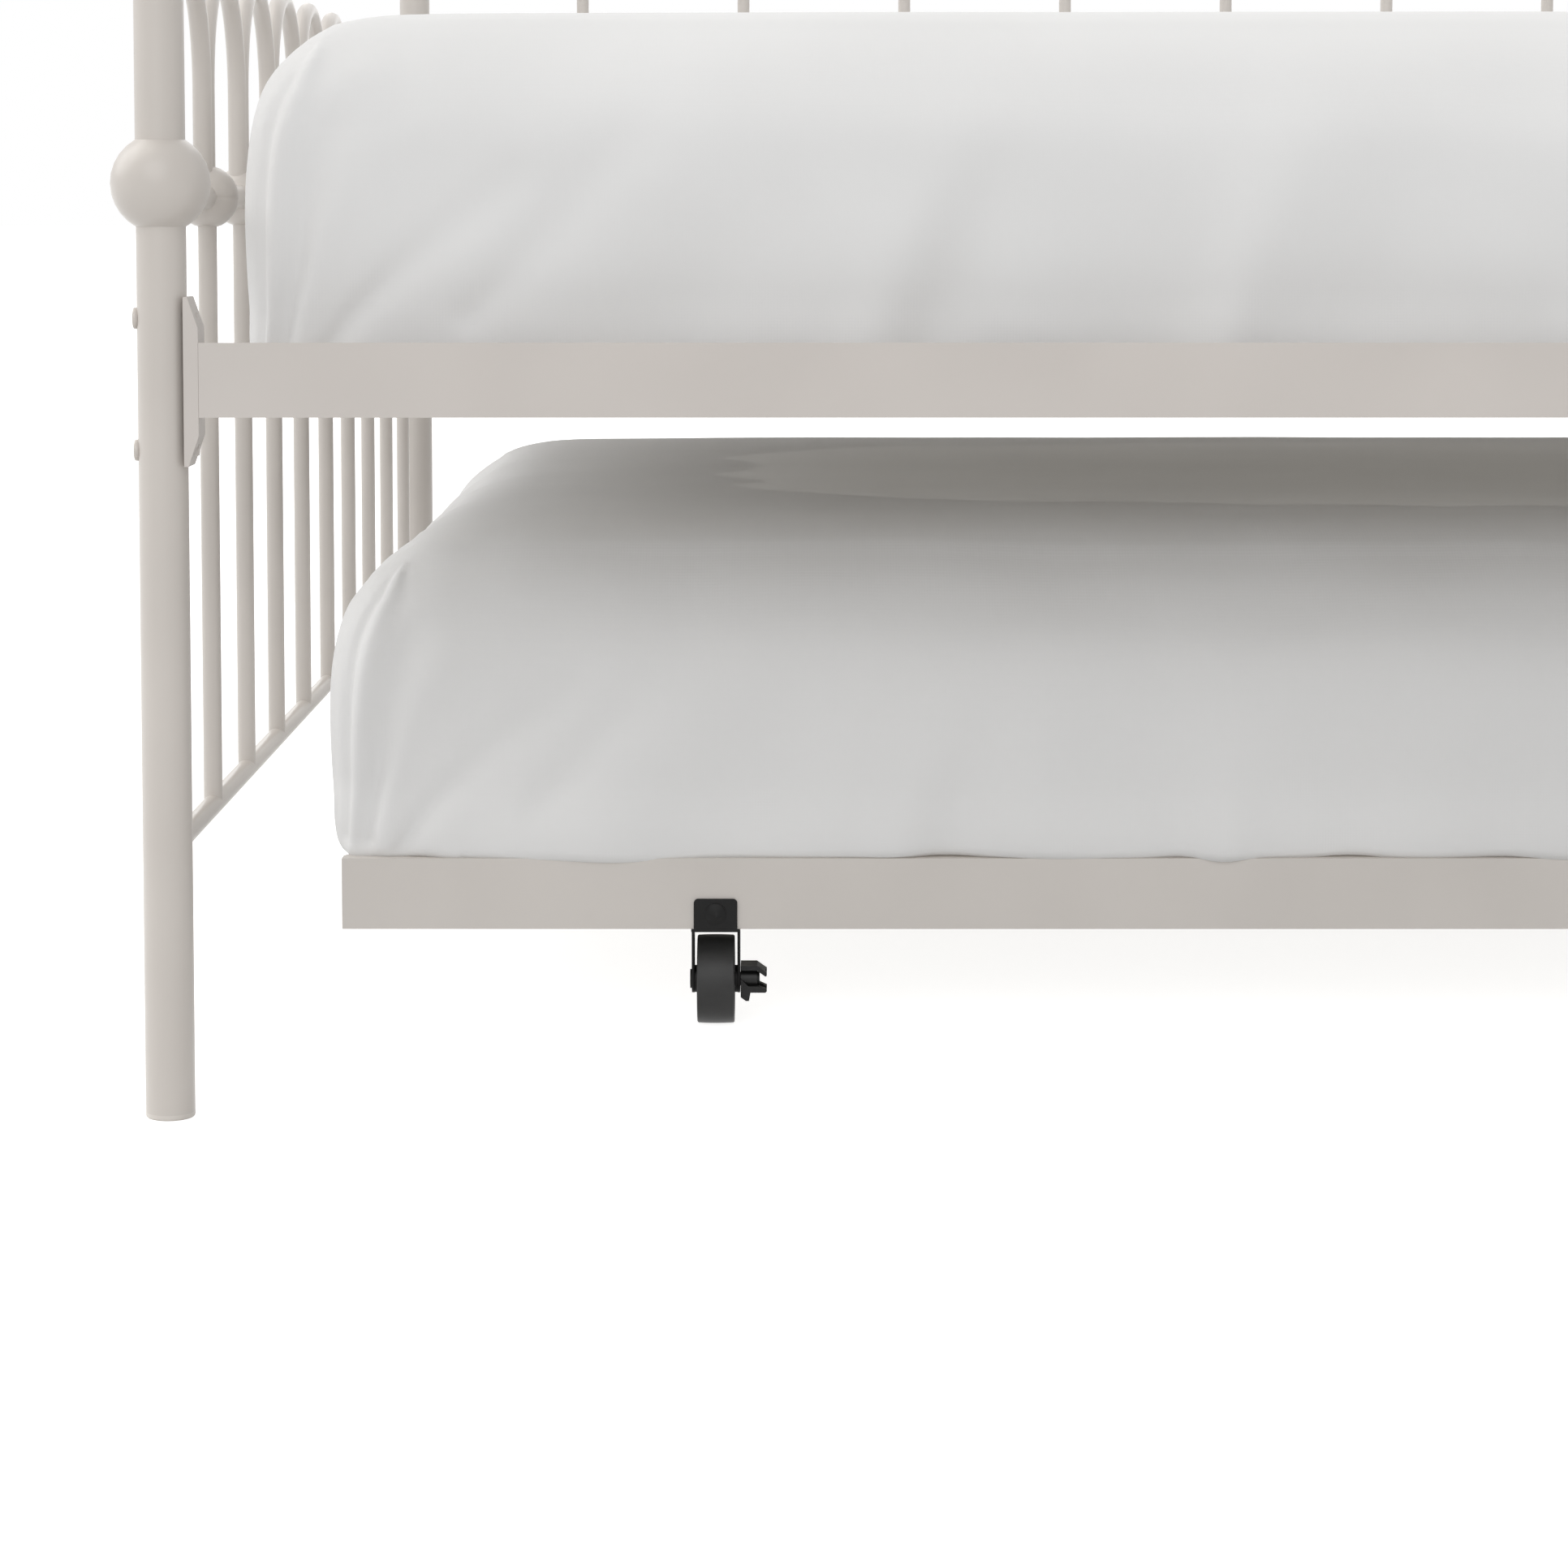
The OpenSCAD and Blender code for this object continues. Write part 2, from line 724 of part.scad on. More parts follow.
module deck_slat_caps() {
    color(PLASTIC) at_deck_slats() difference() {
        for (m = [0, 1]) mirror([0, m, 0]) slat_cap(deck_slat_w, deck_slat_h, deck_slat_end);
        slat_screw_holes(deck_slat_h, rail_face_y, slat_screw_d);
    }
}

// These go in from above, beside the mattress
module deck_slat_screws() {
    color(STEEL) at_deck_slats() at_slat_screws(rail_face_y)
        mirror([0, 0, 1]) slat_screw(deck_slat_h + side_rail_t);
}

// The children are drawn at the middle of a trundle slat's top
module at_trundle_slats() {
    for (i = [0:trundle_slat_count - 1])
        translate([slat_x(trundle_slat_reach, trundle_slat_count, i), trundle_mid_y, trundle_slat_top])
            children();
}

module trundle_slats() {
    color(STEEL) at_trundle_slats() difference() {
        slat(trundle_slat_w, trundle_slat_h, trundle_slat_end);
        slat_screw_holes(trundle_slat_h, trundle_half, slat_screw_d + 2 * bolt_gap);
    }
}

module trundle_slat_caps() {
    color(PLASTIC) at_trundle_slats() difference() {
        for (m = [0, 1]) mirror([0, m, 0]) slat_cap(trundle_slat_w, trundle_slat_h, trundle_slat_end);
        slat_screw_holes(trundle_slat_h, trundle_half, slat_screw_d);
    }
}

module trundle_slat_screws() {
    color(STEEL) at_trundle_slats() translate([0, 0, -trundle_slat_h]) at_slat_screws(trundle_half)
        slat_screw(trundle_slat_h + trundle_rail_t);
}

// ---------------------------------------------------------------- mattresses

// A quarter-round collar of radius r inside a mattress corner, from its widest at z = 0 upwards
module corner_collar(r) {
    step = 15;
    for (a = [0:step:90 - step])
        translate([0, 0, r * sin(a)])
            cylinder(h = r * (sin(a + step) - sin(a)), r1 = mattress_corner_r - r * (1 - cos(a)),
                r2 = mattress_corner_r - r * (1 - cos(a + step)), $fn = 32);
}

// A slab on z = 0 with rounded corners and edges
module soft_slab(length, width, height, top_r) {
    hull() for (sx = [-1, 1], sy = [-1, 1])
        translate([sx * (length / 2 - mattress_corner_r), sy * (width / 2 - mattress_corner_r), 0]) {
            translate([0, 0, height - top_r]) corner_collar(top_r);
            translate([0, 0, mattress_bottom_r]) mirror([0, 0, 1]) corner_collar(mattress_bottom_r);
        }
}

module daybed_mattress() {
    color(FABRIC) translate([0, 0, full_mattress_z])
        soft_slab(full_mattress_length, full_mattress_w, full_mattress_h, full_mattress_top_r);
}

module trundle_mattress() {
    color(FABRIC) translate([0, trundle_mid_y, twin_mattress_z])
        soft_slab(twin_mattress_length, twin_mattress_w, twin_mattress_h, twin_mattress_top_r);
}

// ---------------------------------------------------------------- trundle frame

// A channel with its web in front, at -Y, drawn about the middle of the trundle's depth
module trundle_rail() {
    color(RAIL_PAINT) difference() {
        translate([0, -trundle_half, trundle_rail_z]) {
            translate([-trundle_length / 2, 0, 0]) cube([trundle_length, trundle_rail_t, trundle_rail_h]);
            translate([-trundle_length / 2, 0, 0])
                cube([trundle_length, trundle_bottom_flange, trundle_rail_t]);
            translate([0, 0, trundle_rail_h - trundle_rail_t]) linear_extrude(trundle_rail_t) top_flange();
        }
        for (s = [-1, 1])
            translate([s * caster_x, -trundle_half - CUT, trundle_rail_z + caster_bolt_up])
                rotate([-90, 0, 0])
                    cylinder(h = trundle_rail_t + 2 * CUT, d = caster_bolt_d + 2 * bolt_gap);
        for (i = [0:trundle_slat_count - 1])
            translate([slat_x(trundle_slat_reach, trundle_slat_count, i), slat_screw_in - trundle_half,
                trundle_slat_top - CUT])
                cylinder(h = trundle_rail_t + 2 * CUT, d = slat_screw_d);
    }
}

// The top flange seen from above, with its free corners rounded
module top_flange() {
    long = trundle_length / 2;
    translate([-long, 0]) square([2 * long, trundle_top_flange - trundle_flange_r]);
    translate([trundle_flange_r - long, 0]) square([2 * (long - trundle_flange_r), trundle_top_flange]);
    for (s = [-1, 1])
        translate([s * (long - trundle_flange_r), trundle_top_flange - trundle_flange_r])
            circle(r = trundle_flange_r);
}

module trundle_front_rail() {
    translate([0, trundle_mid_y, 0]) trundle_rail();
}

module trundle_rear_rail() {
    translate([0, trundle_mid_y, 0]) mirror([0, 1, 0]) trundle_rail();
}

// A rectangular tube between the webs of the two rails
module trundle_left_rail() {
    end = trundle_half - trundle_rail_t;
    height = trundle_rail_h - 2 * trundle_rail_t;
    color(RAIL_PAINT) translate([-trundle_end_x, trundle_mid_y - end, trundle_rail_z + trundle_rail_t])
        difference() {
            cube([trundle_end_w, 2 * end, height]);
            translate([slat_wall, -CUT, slat_wall])
                cube([trundle_end_w - 2 * slat_wall, 2 * (end + CUT), height - 2 * slat_wall]);
        }
}

module trundle_right_rail() {
    mirror([1, 0, 0]) trundle_left_rail();
}

// ---------------------------------------------------------------- casters

// The children are drawn about a wheel's centre, with the rail's face in front of it, at -Y
module at_caster(right, rear) {
    translate([(right ? 1 : -1) * caster_x, trundle_mid_y, 0])
        rotate([0, 0, rear ? 180 : 0]) translate([0, -caster_y, wheel_r]) children();
}

module at_each_caster() {
    for (right = [0, 1], rear = [0, 1]) at_caster(right, rear) children();
}

// A bent strap: a tab on the rail's face, a strip under the rail and two legs beside the wheel
module fork() {
    front_y = -caster_in - fork_t;
    color(CASTER_BLACK) difference() {
        union() {
            translate([0, -caster_in, rail_over_axle]) rotate([90, 0, 0]) linear_extrude(fork_t) fork_tab();
            translate([-fork_outer_x, front_y, rail_over_axle - fork_t])
                cube([2 * fork_outer_x, fork_leg_w / 2 - front_y, fork_t]);
            for (x = [-fork_outer_x, fork_inner_x])
                translate([x, 0, 0]) rotate([90, 0, 90]) linear_extrude(fork_t) fork_leg();
        }
        rod_along_x(-fork_outer_x - CUT, fork_outer_x + CUT, axle_d);
        at_caster_bolt() rod_along_x(-CUT, fork_t + CUT, caster_bolt_d + 2 * bolt_gap);
    }
}

module fork_tab() {
    side = fork_tab_w / 2 - fork_tab_r;
    translate([-fork_tab_w / 2, -fork_t]) square([fork_tab_w, fork_tab_h - fork_tab_r + fork_t]);
    translate([-side, 0]) square([2 * side, fork_tab_h]);
    for (s = [-1, 1])
        translate([s * side, fork_tab_h - fork_tab_r]) circle(r = fork_tab_r);
}

module fork_leg() {
    circle(d = fork_leg_w);
    translate([-fork_leg_w / 2, 0]) square([fork_leg_w, rail_over_axle]);
}

// The children are drawn along X from the tab's front face, and turned to run back along Y
module at_caster_bolt() {
    translate([0, -caster_in - fork_t, rail_over_axle + caster_bolt_up]) rotate([0, 0, 90]) children();
}

module front_left_fork() {
    at_caster(0, 0) fork();
}

module front_right_fork() {
    at_caster(1, 0) fork();
}

module rear_left_fork() {
    at_caster(0, 1) fork();
}

module rear_right_fork() {
    at_caster(1, 1) fork();
}

module caster_bolts() {
    color(CASTER_BLACK) at_each_caster() at_caster_bolt() {
        domed_head(caster_head_d, caster_head_h);
        rod_along_x(0, fork_t + trundle_rail_t + caster_nut_h, caster_bolt_d);
    }
}

module caster_nuts() {
    start = fork_t + trundle_rail_t;
    color(STEEL) at_each_caster() at_caster_bolt() difference() {
        translate([start, 0, 0]) rotate([0, 90, 0])
            cylinder(h = caster_nut_h, d = caster_nut_w / cos(30), $fn = 6);
        rod_along_x(start - CUT, start + caster_nut_h + CUT, caster_bolt_d);
    }
}

module caster_axle(end) {
    rod_along_x(-fork_outer_x - axle_head_h, -fork_outer_x, axle_head_d);
    rod_along_x(-fork_outer_x, end + axle_head_h, axle_d);
}

// The front axles run on through the brake levers
module caster_axles() {
    color(STEEL) for (right = [0, 1]) {
        at_caster(right, 0) caster_axle(lever_end_x);
        at_caster(right, 1) caster_axle(fork_outer_x);
    }
}

module push_nut(x) {
    ring_along_x(x, x + axle_head_h, axle_head_d, axle_d);
}

module axle_push_nuts() {
    color(STEEL) for (right = [0, 1]) {
        at_caster(right, 0) push_nut(lever_end_x);
        at_caster(right, 1) push_nut(fork_outer_x);
    }
}

module axle_washers() {
    color(CASTER_BLACK) at_each_caster() for (s = [0, 1])
        mirror([s, 0, 0]) ring_along_x(fork_inner_x - axle_washer_t, fork_inner_x, axle_washer_d, axle_d);
}

// Half of the wheel's section, from the middle of its bore round to the middle of its tread
function wheel_half_section() =
    let (side = wheel_w / 2, flat = side - wheel_edge_r, recess_x = side - wheel_recess)
    concat(
        [[axle_d / 2 + axle_gap, side], [wheel_hub_d / 2, side], [wheel_hub_d / 2, recess_x],
            [wheel_r - wheel_rim, recess_x], [wheel_r - wheel_rim, side],
            [wheel_r - wheel_crown - wheel_edge_r, side]],
        [for (i = [0:5]) [wheel_r - wheel_crown * pow(1 - i / 6, 2), flat * (1 - i / 6)]]);

module wheel() {
    half = wheel_half_section();
    other_half = [for (i = [len(half) - 1:-1:0]) [half[i][0], -half[i][1]]];
    color(WHEEL_GREY) rotate([0, 90, 0]) rotate_extrude()
        polygon(concat(half, [[wheel_r, 0]], other_half));
}

module front_left_wheel() {
    at_caster(0, 0) wheel();
}

module front_right_wheel() {
    at_caster(1, 0) wheel();
}

module rear_left_wheel() {
    at_caster(0, 1) wheel();
}

module rear_right_wheel() {
    at_caster(1, 1) wheel();
}

// ---------------------------------------------------------------- brake levers

// Outlines in X and Z from the lever's inner end, which are carried along Y

module upper_wing() {
    bend = lever_wing_l * 0.62;
    tip_z = lever_upper - lever_wing_l * 0.32;
    nose = lever_wing_t * 0.3;
    polygon([[0, lever_upper], [bend, lever_upper], [lever_wing_l - nose, tip_z + lever_wing_t / 2],
        [lever_wing_l, tip_z + nose], [lever_wing_l, tip_z - nose],
        [lever_wing_l - nose, tip_z - lever_wing_t / 2], [bend, lever_upper - lever_wing_t],
        [0, lever_upper - lever_wing_t]]);
}

module lower_wing() {
    thick = lever_wing_t * 1.4;
    nose = lever_wing_t * 0.3;
    polygon([[0, -lever_lower], [lever_wing_l - nose, -lever_lower], [lever_wing_l, nose - lever_lower],
        [lever_wing_l, 2 * nose - lever_lower], [lever_wing_l * 0.7, thick - lever_lower],
        [0, thick - lever_lower]]);
}

// The small leaf that hangs beside the fork at the front
module front_leaf() {
    wide = lever_wing_l * 0.4;
    polygon([[0, 1.4], [wide, -4.5], [wide * 0.8, -11.4], [wide * 0.5, -11.4], [0, -9.2]]);
}

module carry_along_y(y0, y1) {
    translate([0, y1, 0]) rotate([90, 0, 0]) linear_extrude(y1 - y0) children();
}

module brake_lever() {
    half = lever_wing_w / 2;
    color(CASTER_BLACK) translate([lever_x, 0, 0]) difference() {
        union() {
            rod_along_x(0, lever_body_l, 2 * lever_lower);
            translate([0, -lever_wing_t, -lever_lower])
                cube([lever_body_l, 2 * lever_wing_t, lever_lower + lever_upper]);
            carry_along_y(-half, half) upper_wing();
            carry_along_y(-half, half) lower_wing();
            carry_along_y(-half, lever_wing_t - half) front_leaf();
        }
        rod_along_x(-CUT, lever_wing_l + CUT, axle_d + 2 * axle_gap);
        rod_along_x(lever_body_l, lever_wing_l + CUT, axle_head_d + 2 * side_gap);
    }
}

module left_brake_lever() {
    at_caster(0, 0) brake_lever();
}

module right_brake_lever() {
    at_caster(1, 0) brake_lever();
}

front_left_post();
front_right_post();
rear_left_post();
rear_right_post();
foot_caps();
post_balls();
post_finials();
left_arm_lower_rail();
left_arm_bar();
left_arm_spindles();
left_arm_hoops();
left_arm_bar_balls();
right_arm_lower_rail();
right_arm_bar();
right_arm_spindles();
right_arm_hoops();
right_arm_bar_balls();
back_lower_rail();
back_bar();
back_spindles();
back_hoops();
back_bar_balls();
front_side_rail();
rear_side_rail();
rail_brackets();
bracket_nuts();
post_bolts();
deck_slats();
deck_slat_caps();
deck_slat_screws();
daybed_mattress();
trundle_front_rail();
trundle_rear_rail();
trundle_left_rail();
trundle_right_rail();
trundle_slats();
trundle_slat_caps();
trundle_slat_screws();
trundle_mattress();
front_left_fork();
front_right_fork();
rear_left_fork();
rear_right_fork();
caster_bolts();
caster_nuts();
caster_axles();
axle_washers();
axle_push_nuts();
front_left_wheel();
front_right_wheel();
rear_left_wheel();
rear_right_wheel();
left_brake_lever();
right_brake_lever();
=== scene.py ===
"""Looks for a full-size metal daybed with a pull-out twin trundle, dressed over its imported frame.

Lengths are in metres. X runs along the bed, -Y is the front and Z is up.
"""

import json
import logging
import math
from collections.abc import Iterable
from dataclasses import dataclass
from enum import Enum

import bmesh
import bpy
import numpy as np
from mathutils import Matrix, Vector

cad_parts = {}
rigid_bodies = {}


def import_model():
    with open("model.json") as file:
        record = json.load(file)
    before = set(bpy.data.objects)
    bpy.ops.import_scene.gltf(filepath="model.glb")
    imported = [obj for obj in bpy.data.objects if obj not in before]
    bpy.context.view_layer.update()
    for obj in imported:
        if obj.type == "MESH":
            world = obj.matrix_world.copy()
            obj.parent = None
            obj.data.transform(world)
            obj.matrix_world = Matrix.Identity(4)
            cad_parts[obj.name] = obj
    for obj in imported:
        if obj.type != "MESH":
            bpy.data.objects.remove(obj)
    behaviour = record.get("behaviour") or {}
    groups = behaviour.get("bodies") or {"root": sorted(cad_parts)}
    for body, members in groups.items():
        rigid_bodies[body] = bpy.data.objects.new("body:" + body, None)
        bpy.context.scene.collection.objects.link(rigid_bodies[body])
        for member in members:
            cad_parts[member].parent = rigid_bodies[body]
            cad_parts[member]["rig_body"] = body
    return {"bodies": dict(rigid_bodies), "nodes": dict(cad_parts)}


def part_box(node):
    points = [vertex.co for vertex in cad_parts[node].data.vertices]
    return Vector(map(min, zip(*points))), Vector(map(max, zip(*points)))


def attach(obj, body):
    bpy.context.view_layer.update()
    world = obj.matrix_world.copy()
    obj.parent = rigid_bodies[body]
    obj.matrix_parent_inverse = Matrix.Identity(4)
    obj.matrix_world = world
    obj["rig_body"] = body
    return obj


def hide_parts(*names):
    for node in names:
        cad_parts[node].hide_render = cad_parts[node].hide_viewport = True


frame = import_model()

LOG = logging.getLogger("daybed")
MM = 0.001
PAINT_IOR = 1.5
NEAR = 1e-6  # points closer than this are in one place
TINY = 1e-9  # keeps a division away from zero
JOIN_WITHIN = 0.002 * MM  # corners of a CAD node's triangles closer than this are one
FLAT_WITHIN = math.radians(1)  # faces that turn by less are one flat face


# ---------------------------------------------------------------- colours and nodes


def linear(hex_colour: str) -> tuple[float, float, float, float]:
    """Turn an sRGB hex colour to linear light.

    Args:
        hex_colour: Six hex digits after a hash.

    Returns:
        Red, green, blue and an alpha of 1.
    """
    parts = [int(hex_colour[i:i + 2], 16) / 255 for i in (1, 3, 5)]
    red, green, blue = [c / 12.92 if c <= 0.04045 else ((c + 0.055) / 1.055) ** 2.4 for c in parts]
    return red, green, blue, 1.0


def add_node(
    tree: bpy.types.NodeTree,
    kind: str,
    settings: dict[str, object] | None = None,
    values: dict[str | int, object] | None = None,
    links: dict[str | int, bpy.types.NodeSocket] | None = None,
) -> bpy.types.Node:
    """Add one node to a tree.

    Args:
        tree: The tree that gets the node.
        kind: The name of the node's type.
        settings: Attributes to set on the node.
        values: Input sockets and their fixed values.
        links: Input sockets and the output sockets that feed them.

    Returns:
        The new node.
    """
    node = tree.nodes.new(kind)
    for key, value in (settings or {}).items():
        setattr(node, key, value)
    for key, value in (values or {}).items():
        node.inputs[key].default_value = value
    for key, socket in (links or {}).items():
        tree.links.new(socket, node.inputs[key])
    return node


class Dressing:
    """A material's node tree with its shader, its Object coordinates and its bump chain."""

    BLEND_START, BLEND_END = 0.35, 0.65  # most of a noise lies between these

    def __init__(self, name: str, values: dict[str | int, object]) -> None:
        """Start a material.

        Args:
            name: The material's name.
            values: The shader's plain inputs and their values.
        """
        self.material = bpy.data.materials.new(name)
        self.material.use_nodes = True
        self.tree = self.material.node_tree
        self.tree.nodes.clear()
        self.shader = add_node(self.tree, "ShaderNodeBsdfPrincipled", values=values)
        add_node(self.tree, "ShaderNodeOutputMaterial", links={"Surface": self.shader.outputs["BSDF"]})
        coordinates = add_node(self.tree, "ShaderNodeTexCoord")
        self.place = coordinates.outputs["Object"]

    def noise(
        self,
        feature: float,
        detail: float = 2.0,
        stretch: tuple[float, float, float] = (1, 1, 1),
    ) -> bpy.types.NodeSocket:
        """Add a noise of a real size.

        Args:
            feature: Width of one patch in metres.
            detail: Number of finer layers.
            stretch: How much the patches are squeezed along each axis.

        Returns:
            The noise's value socket.
        """
        turn = add_node(self.tree, "ShaderNodeMapping", values={"Scale": stretch},
                        links={"Vector": self.place})
        noise = add_node(self.tree, "ShaderNodeTexNoise", values={"Scale": 1 / feature, "Detail": detail},
                         links={"Vector": turn.outputs["Vector"]})
        return noise.outputs["Factor"] if "Factor" in noise.outputs else noise.outputs["Fac"]

    def blend_colours(self, one: str, other: str, factor: bpy.types.NodeSocket) -> None:
        """Vary the base colour between two hex colours.

        Args:
            one: The colour where the factor is low.
            other: The colour where the factor is high.
            factor: The socket that chooses between them.
        """
        ramp = add_node(self.tree, "ShaderNodeValToRGB", links={"Fac": factor})
        low, high = ramp.color_ramp.elements
        low.position, high.position = self.BLEND_START, self.BLEND_END
        low.color, high.color = linear(one), linear(other)
        self.tree.links.new(ramp.outputs["Color"], self.shader.inputs["Base Color"])

    def bump(self, height: bpy.types.NodeSocket, depth: float, strength: float = 1.0) -> None:
        """Raise the surface by a height socket.

        Args:
            height: Heights from 0 to 1.
            depth: The height of 1 in metres.
            strength: How far the bump shows.
        """
        node = add_node(self.tree, "ShaderNodeBump", values={"Strength": strength, "Distance": depth},
                        links={"Height": height})
        before = self.shader.inputs["Normal"].links
        if before:
            self.tree.links.new(before[0].from_socket, node.inputs["Normal"])
        self.tree.links.new(node.outputs["Normal"], self.shader.inputs["Normal"])


# ---------------------------------------------------------------- finishes


@dataclass(frozen=True)
class PowderCoat:
    """Polyester powder coat baked on steel: satin, with a faint orange peel and soft patches of tone."""

    name: str
    colour: str
    deep_colour: str
    roughness: float = 0.34
    gloss: float = 0.5
    peel: float = 2.2 * MM  # real peel is about 0.8 mm across, drawn coarser so that it shows
    peel_depth: float = 0.012 * MM
    patch: float = 90 * MM

    def material(self) -> bpy.types.Material:
        """Make the material."""
        dressing = Dressing(self.name, {"Roughness": self.roughness, "IOR": PAINT_IOR,
                                        "Specular IOR Level": self.gloss})
        dressing.blend_colours(self.deep_colour, self.colour, dressing.noise(self.patch, 1.0))
        dressing.bump(dressing.noise(self.peel), self.peel_depth)
        return dressing.material


@dataclass(frozen=True)
class MouldedPlastic:
    """Injection-moulded nylon, ABS or polyethylene: even colour with a fine spark-eroded grain."""

    name: str
    colour: str
    deep_colour: str
    roughness: float = 0.48
    gloss: float = 0.5
    grain: float = 0.9 * MM  # real grain is about 0.2 mm, drawn coarser so that it shows
    grain_depth: float = 0.02 * MM
    patch: float = 12 * MM

    def material(self) -> bpy.types.Material:
        """Make the material."""
        dressing = Dressing(self.name, {"Roughness": self.roughness, "IOR": PAINT_IOR,
                                        "Specular IOR Level": self.gloss})
        dressing.blend_colours(self.deep_colour, self.colour, dressing.noise(self.patch, 2.0))
        dressing.bump(dressing.noise(self.grain, 3.0), self.grain_depth)
        return dressing.material


@dataclass(frozen=True)
class ZincPlate:
    """Bright zinc plate on turned and stamped steel: grey metal with fine drawn streaks."""

    name: str
    colour: str = "#B9BBBE"
    deep_colour: str = "#9C9EA2"
    roughness: float = 0.36
    streak: float = 1.2 * MM
    streak_depth: float = 0.01 * MM

    def material(self) -> bpy.types.Material:
        """Make the material."""
        dressing = Dressing(self.name, {"Metallic": 1.0, "Roughness": self.roughness})
        streaks = dressing.noise(self.streak, 2.0, (0.15, 1, 1))
        dressing.blend_colours(self.deep_colour, self.colour, streaks)
        dressing.bump(streaks, self.streak_depth)
        return dressing.material


@dataclass(frozen=True)
class CottonCover:
    """Washed plain-weave cotton over foam: white, fully matt, with a slight sheen and a fine weave."""

    name: str
    colour: str
    deep_colour: str
    thread: float = 1.6 * MM  # real threads are about 0.4 mm apart, drawn coarser so that they show
    weave_depth: float = 0.035 * MM
    pucker: float = 38 * MM
    pucker_depth: float = 0.35 * MM
    patch: float = 160 * MM
    roughness: float = 0.92
    gloss: float = 0.25
    sheen: float = 0.12
    sheen_roughness: float = 0.5

    def material(self) -> bpy.types.Material:
        """Make the material."""
        dressing = Dressing(self.name, {"Roughness": self.roughness, "Specular IOR Level": self.gloss,
                                        "Sheen Weight": self.sheen,
                                        "Sheen Roughness": self.sheen_roughness})
        tree = dressing.tree
        dressing.blend_colours(self.deep_colour, self.colour, dressing.noise(self.patch, 2.0))
        parts = add_node(tree, "ShaderNodeSeparateXYZ", links={"Vector": dressing.place})
        total = None
        for axis in "XYZ":
            turns = add_node(tree, "ShaderNodeMath", {"operation": "MULTIPLY"},
                             {1: 2 * math.pi / self.thread}, {0: parts.outputs[axis]})
            wave = add_node(tree, "ShaderNodeMath", {"operation": "SINE"}, links={0: turns.outputs[0]})
            if total is None:
                total = wave
            else:
                total = add_node(tree, "ShaderNodeMath", {"operation": "ADD"},
                                 links={0: total.outputs[0], 1: wave.outputs[0]})
        # the three waves' sum, from -3 to 3, becomes a height from 0 to 1
        weave = add_node(tree, "ShaderNodeMath", {"operation": "MULTIPLY_ADD"}, {1: 1 / 6, 2: 0.5},
                         {0: total.outputs[0]})
        dressing.bump(dressing.noise(self.pucker, 2.0), self.pucker_depth)
        dressing.bump(weave.outputs[0], self.weave_depth)
        return dressing.material


class Finish(Enum):
    """The bed's finishes."""

    FRAME = PowderCoat("Powder_coat_frame", "#CCC6C0", "#C8C2BC")
    RAIL = PowderCoat("Powder_coat_rails", "#CBC5C0", "#C7C1BC", roughness=0.42)
    TRUNDLE = PowderCoat("Powder_coat_trundle", "#CDC8C3", "#C9C4BF", roughness=0.42)
    SLAT = PowderCoat("Powder_coat_slats", "#CBC6BF", "#C7C1BA", roughness=0.45)
    CASTER = PowderCoat("Powder_coat_black", "#0E0E0E", "#0C0C0C", roughness=0.45, gloss=0.2)
    CAP = MouldedPlastic("Polyethylene_caps", "#D6D1CB", "#D1CBC5")
    WHEEL = MouldedPlastic("Nylon_wheels", "#2E2E2E", "#2A2A2A", roughness=0.42, gloss=0.3)
    LEVER = MouldedPlastic("ABS_levers", "#121212", "#0F0F0F", roughness=0.4, gloss=0.3)
    ZINC = ZincPlate("Zinc_plate")
    COVER = CottonCover("Cotton_cover", "#E4E4E4", "#E1E1E1")


MADE: dict[Finish, bpy.types.Material] = {}


def dress(piece: bpy.types.Object, finish: Finish) -> None:
    """Give a piece or a CAD node its material.

    Args:
        piece: The object to dress.
        finish: Its finish.
    """
    if finish not in MADE:
        MADE[finish] = finish.value.material()
    if not piece.data.materials:
        piece.data.materials.append(MADE[finish])
    for place in piece.material_slots:
        place.material = MADE[finish]


# ---------------------------------------------------------------- making pieces


def add_piece(
    name: str,
    shape: bmesh.types.BMesh,
    finish: Finish,
    body: str,
    replaced: Iterable[str] = (),
) -> bpy.types.Object:
    """Turn a bmesh to a piece that rides on a body.

    Args:
        name: The piece's name.
        shape: Its shape in place, which is freed.
        finish: Its finish.
        body: The body it rides on.
        replaced: The CAD nodes that it stands for.

    Returns:
        The new object.
    """
    mesh = bpy.data.meshes.new(name)
    shape.to_mesh(mesh)
    shape.free()
    for face in mesh.polygons:
        face.use_smooth = True
    piece = bpy.data.objects.new(name, mesh)
    bpy.context.scene.collection.objects.link(piece)
    dress(piece, finish)
    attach(piece, body)
    if replaced:
        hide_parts(*replaced)
    LOG.info("%s: %d faces on %s", name, len(mesh.polygons), body)
    return piece


def merged_copy(node: str) -> bmesh.types.BMesh:
    """Copy a CAD node's mesh with its corners joined.

    Args:
        node: The node's name.

    Returns:
        A bmesh of the node, with flat areas as single faces.
    """
    shape = bmesh.new()
    shape.from_mesh(frame["nodes"][node].data)
    bmesh.ops.remove_doubles(shape, verts=shape.verts, dist=JOIN_WITHIN)
    bmesh.ops.dissolve_limit(shape, angle_limit=FLAT_WITHIN, verts=shape.verts, edges=shape.edges,
                             use_dissolve_boundaries=False)
    return shape


def join_into(shape: bmesh.types.BMesh, part: bmesh.types.BMesh) -> None:
    """Add one bmesh to another.

    Args:
        shape: The bmesh that grows.
        part: The bmesh that is added, and freed.
    """
    spare = bpy.data.meshes.new("spare")
    part.to_mesh(spare)
    part.free()
    shape.from_mesh(spare)
    bpy.data.meshes.remove(spare)


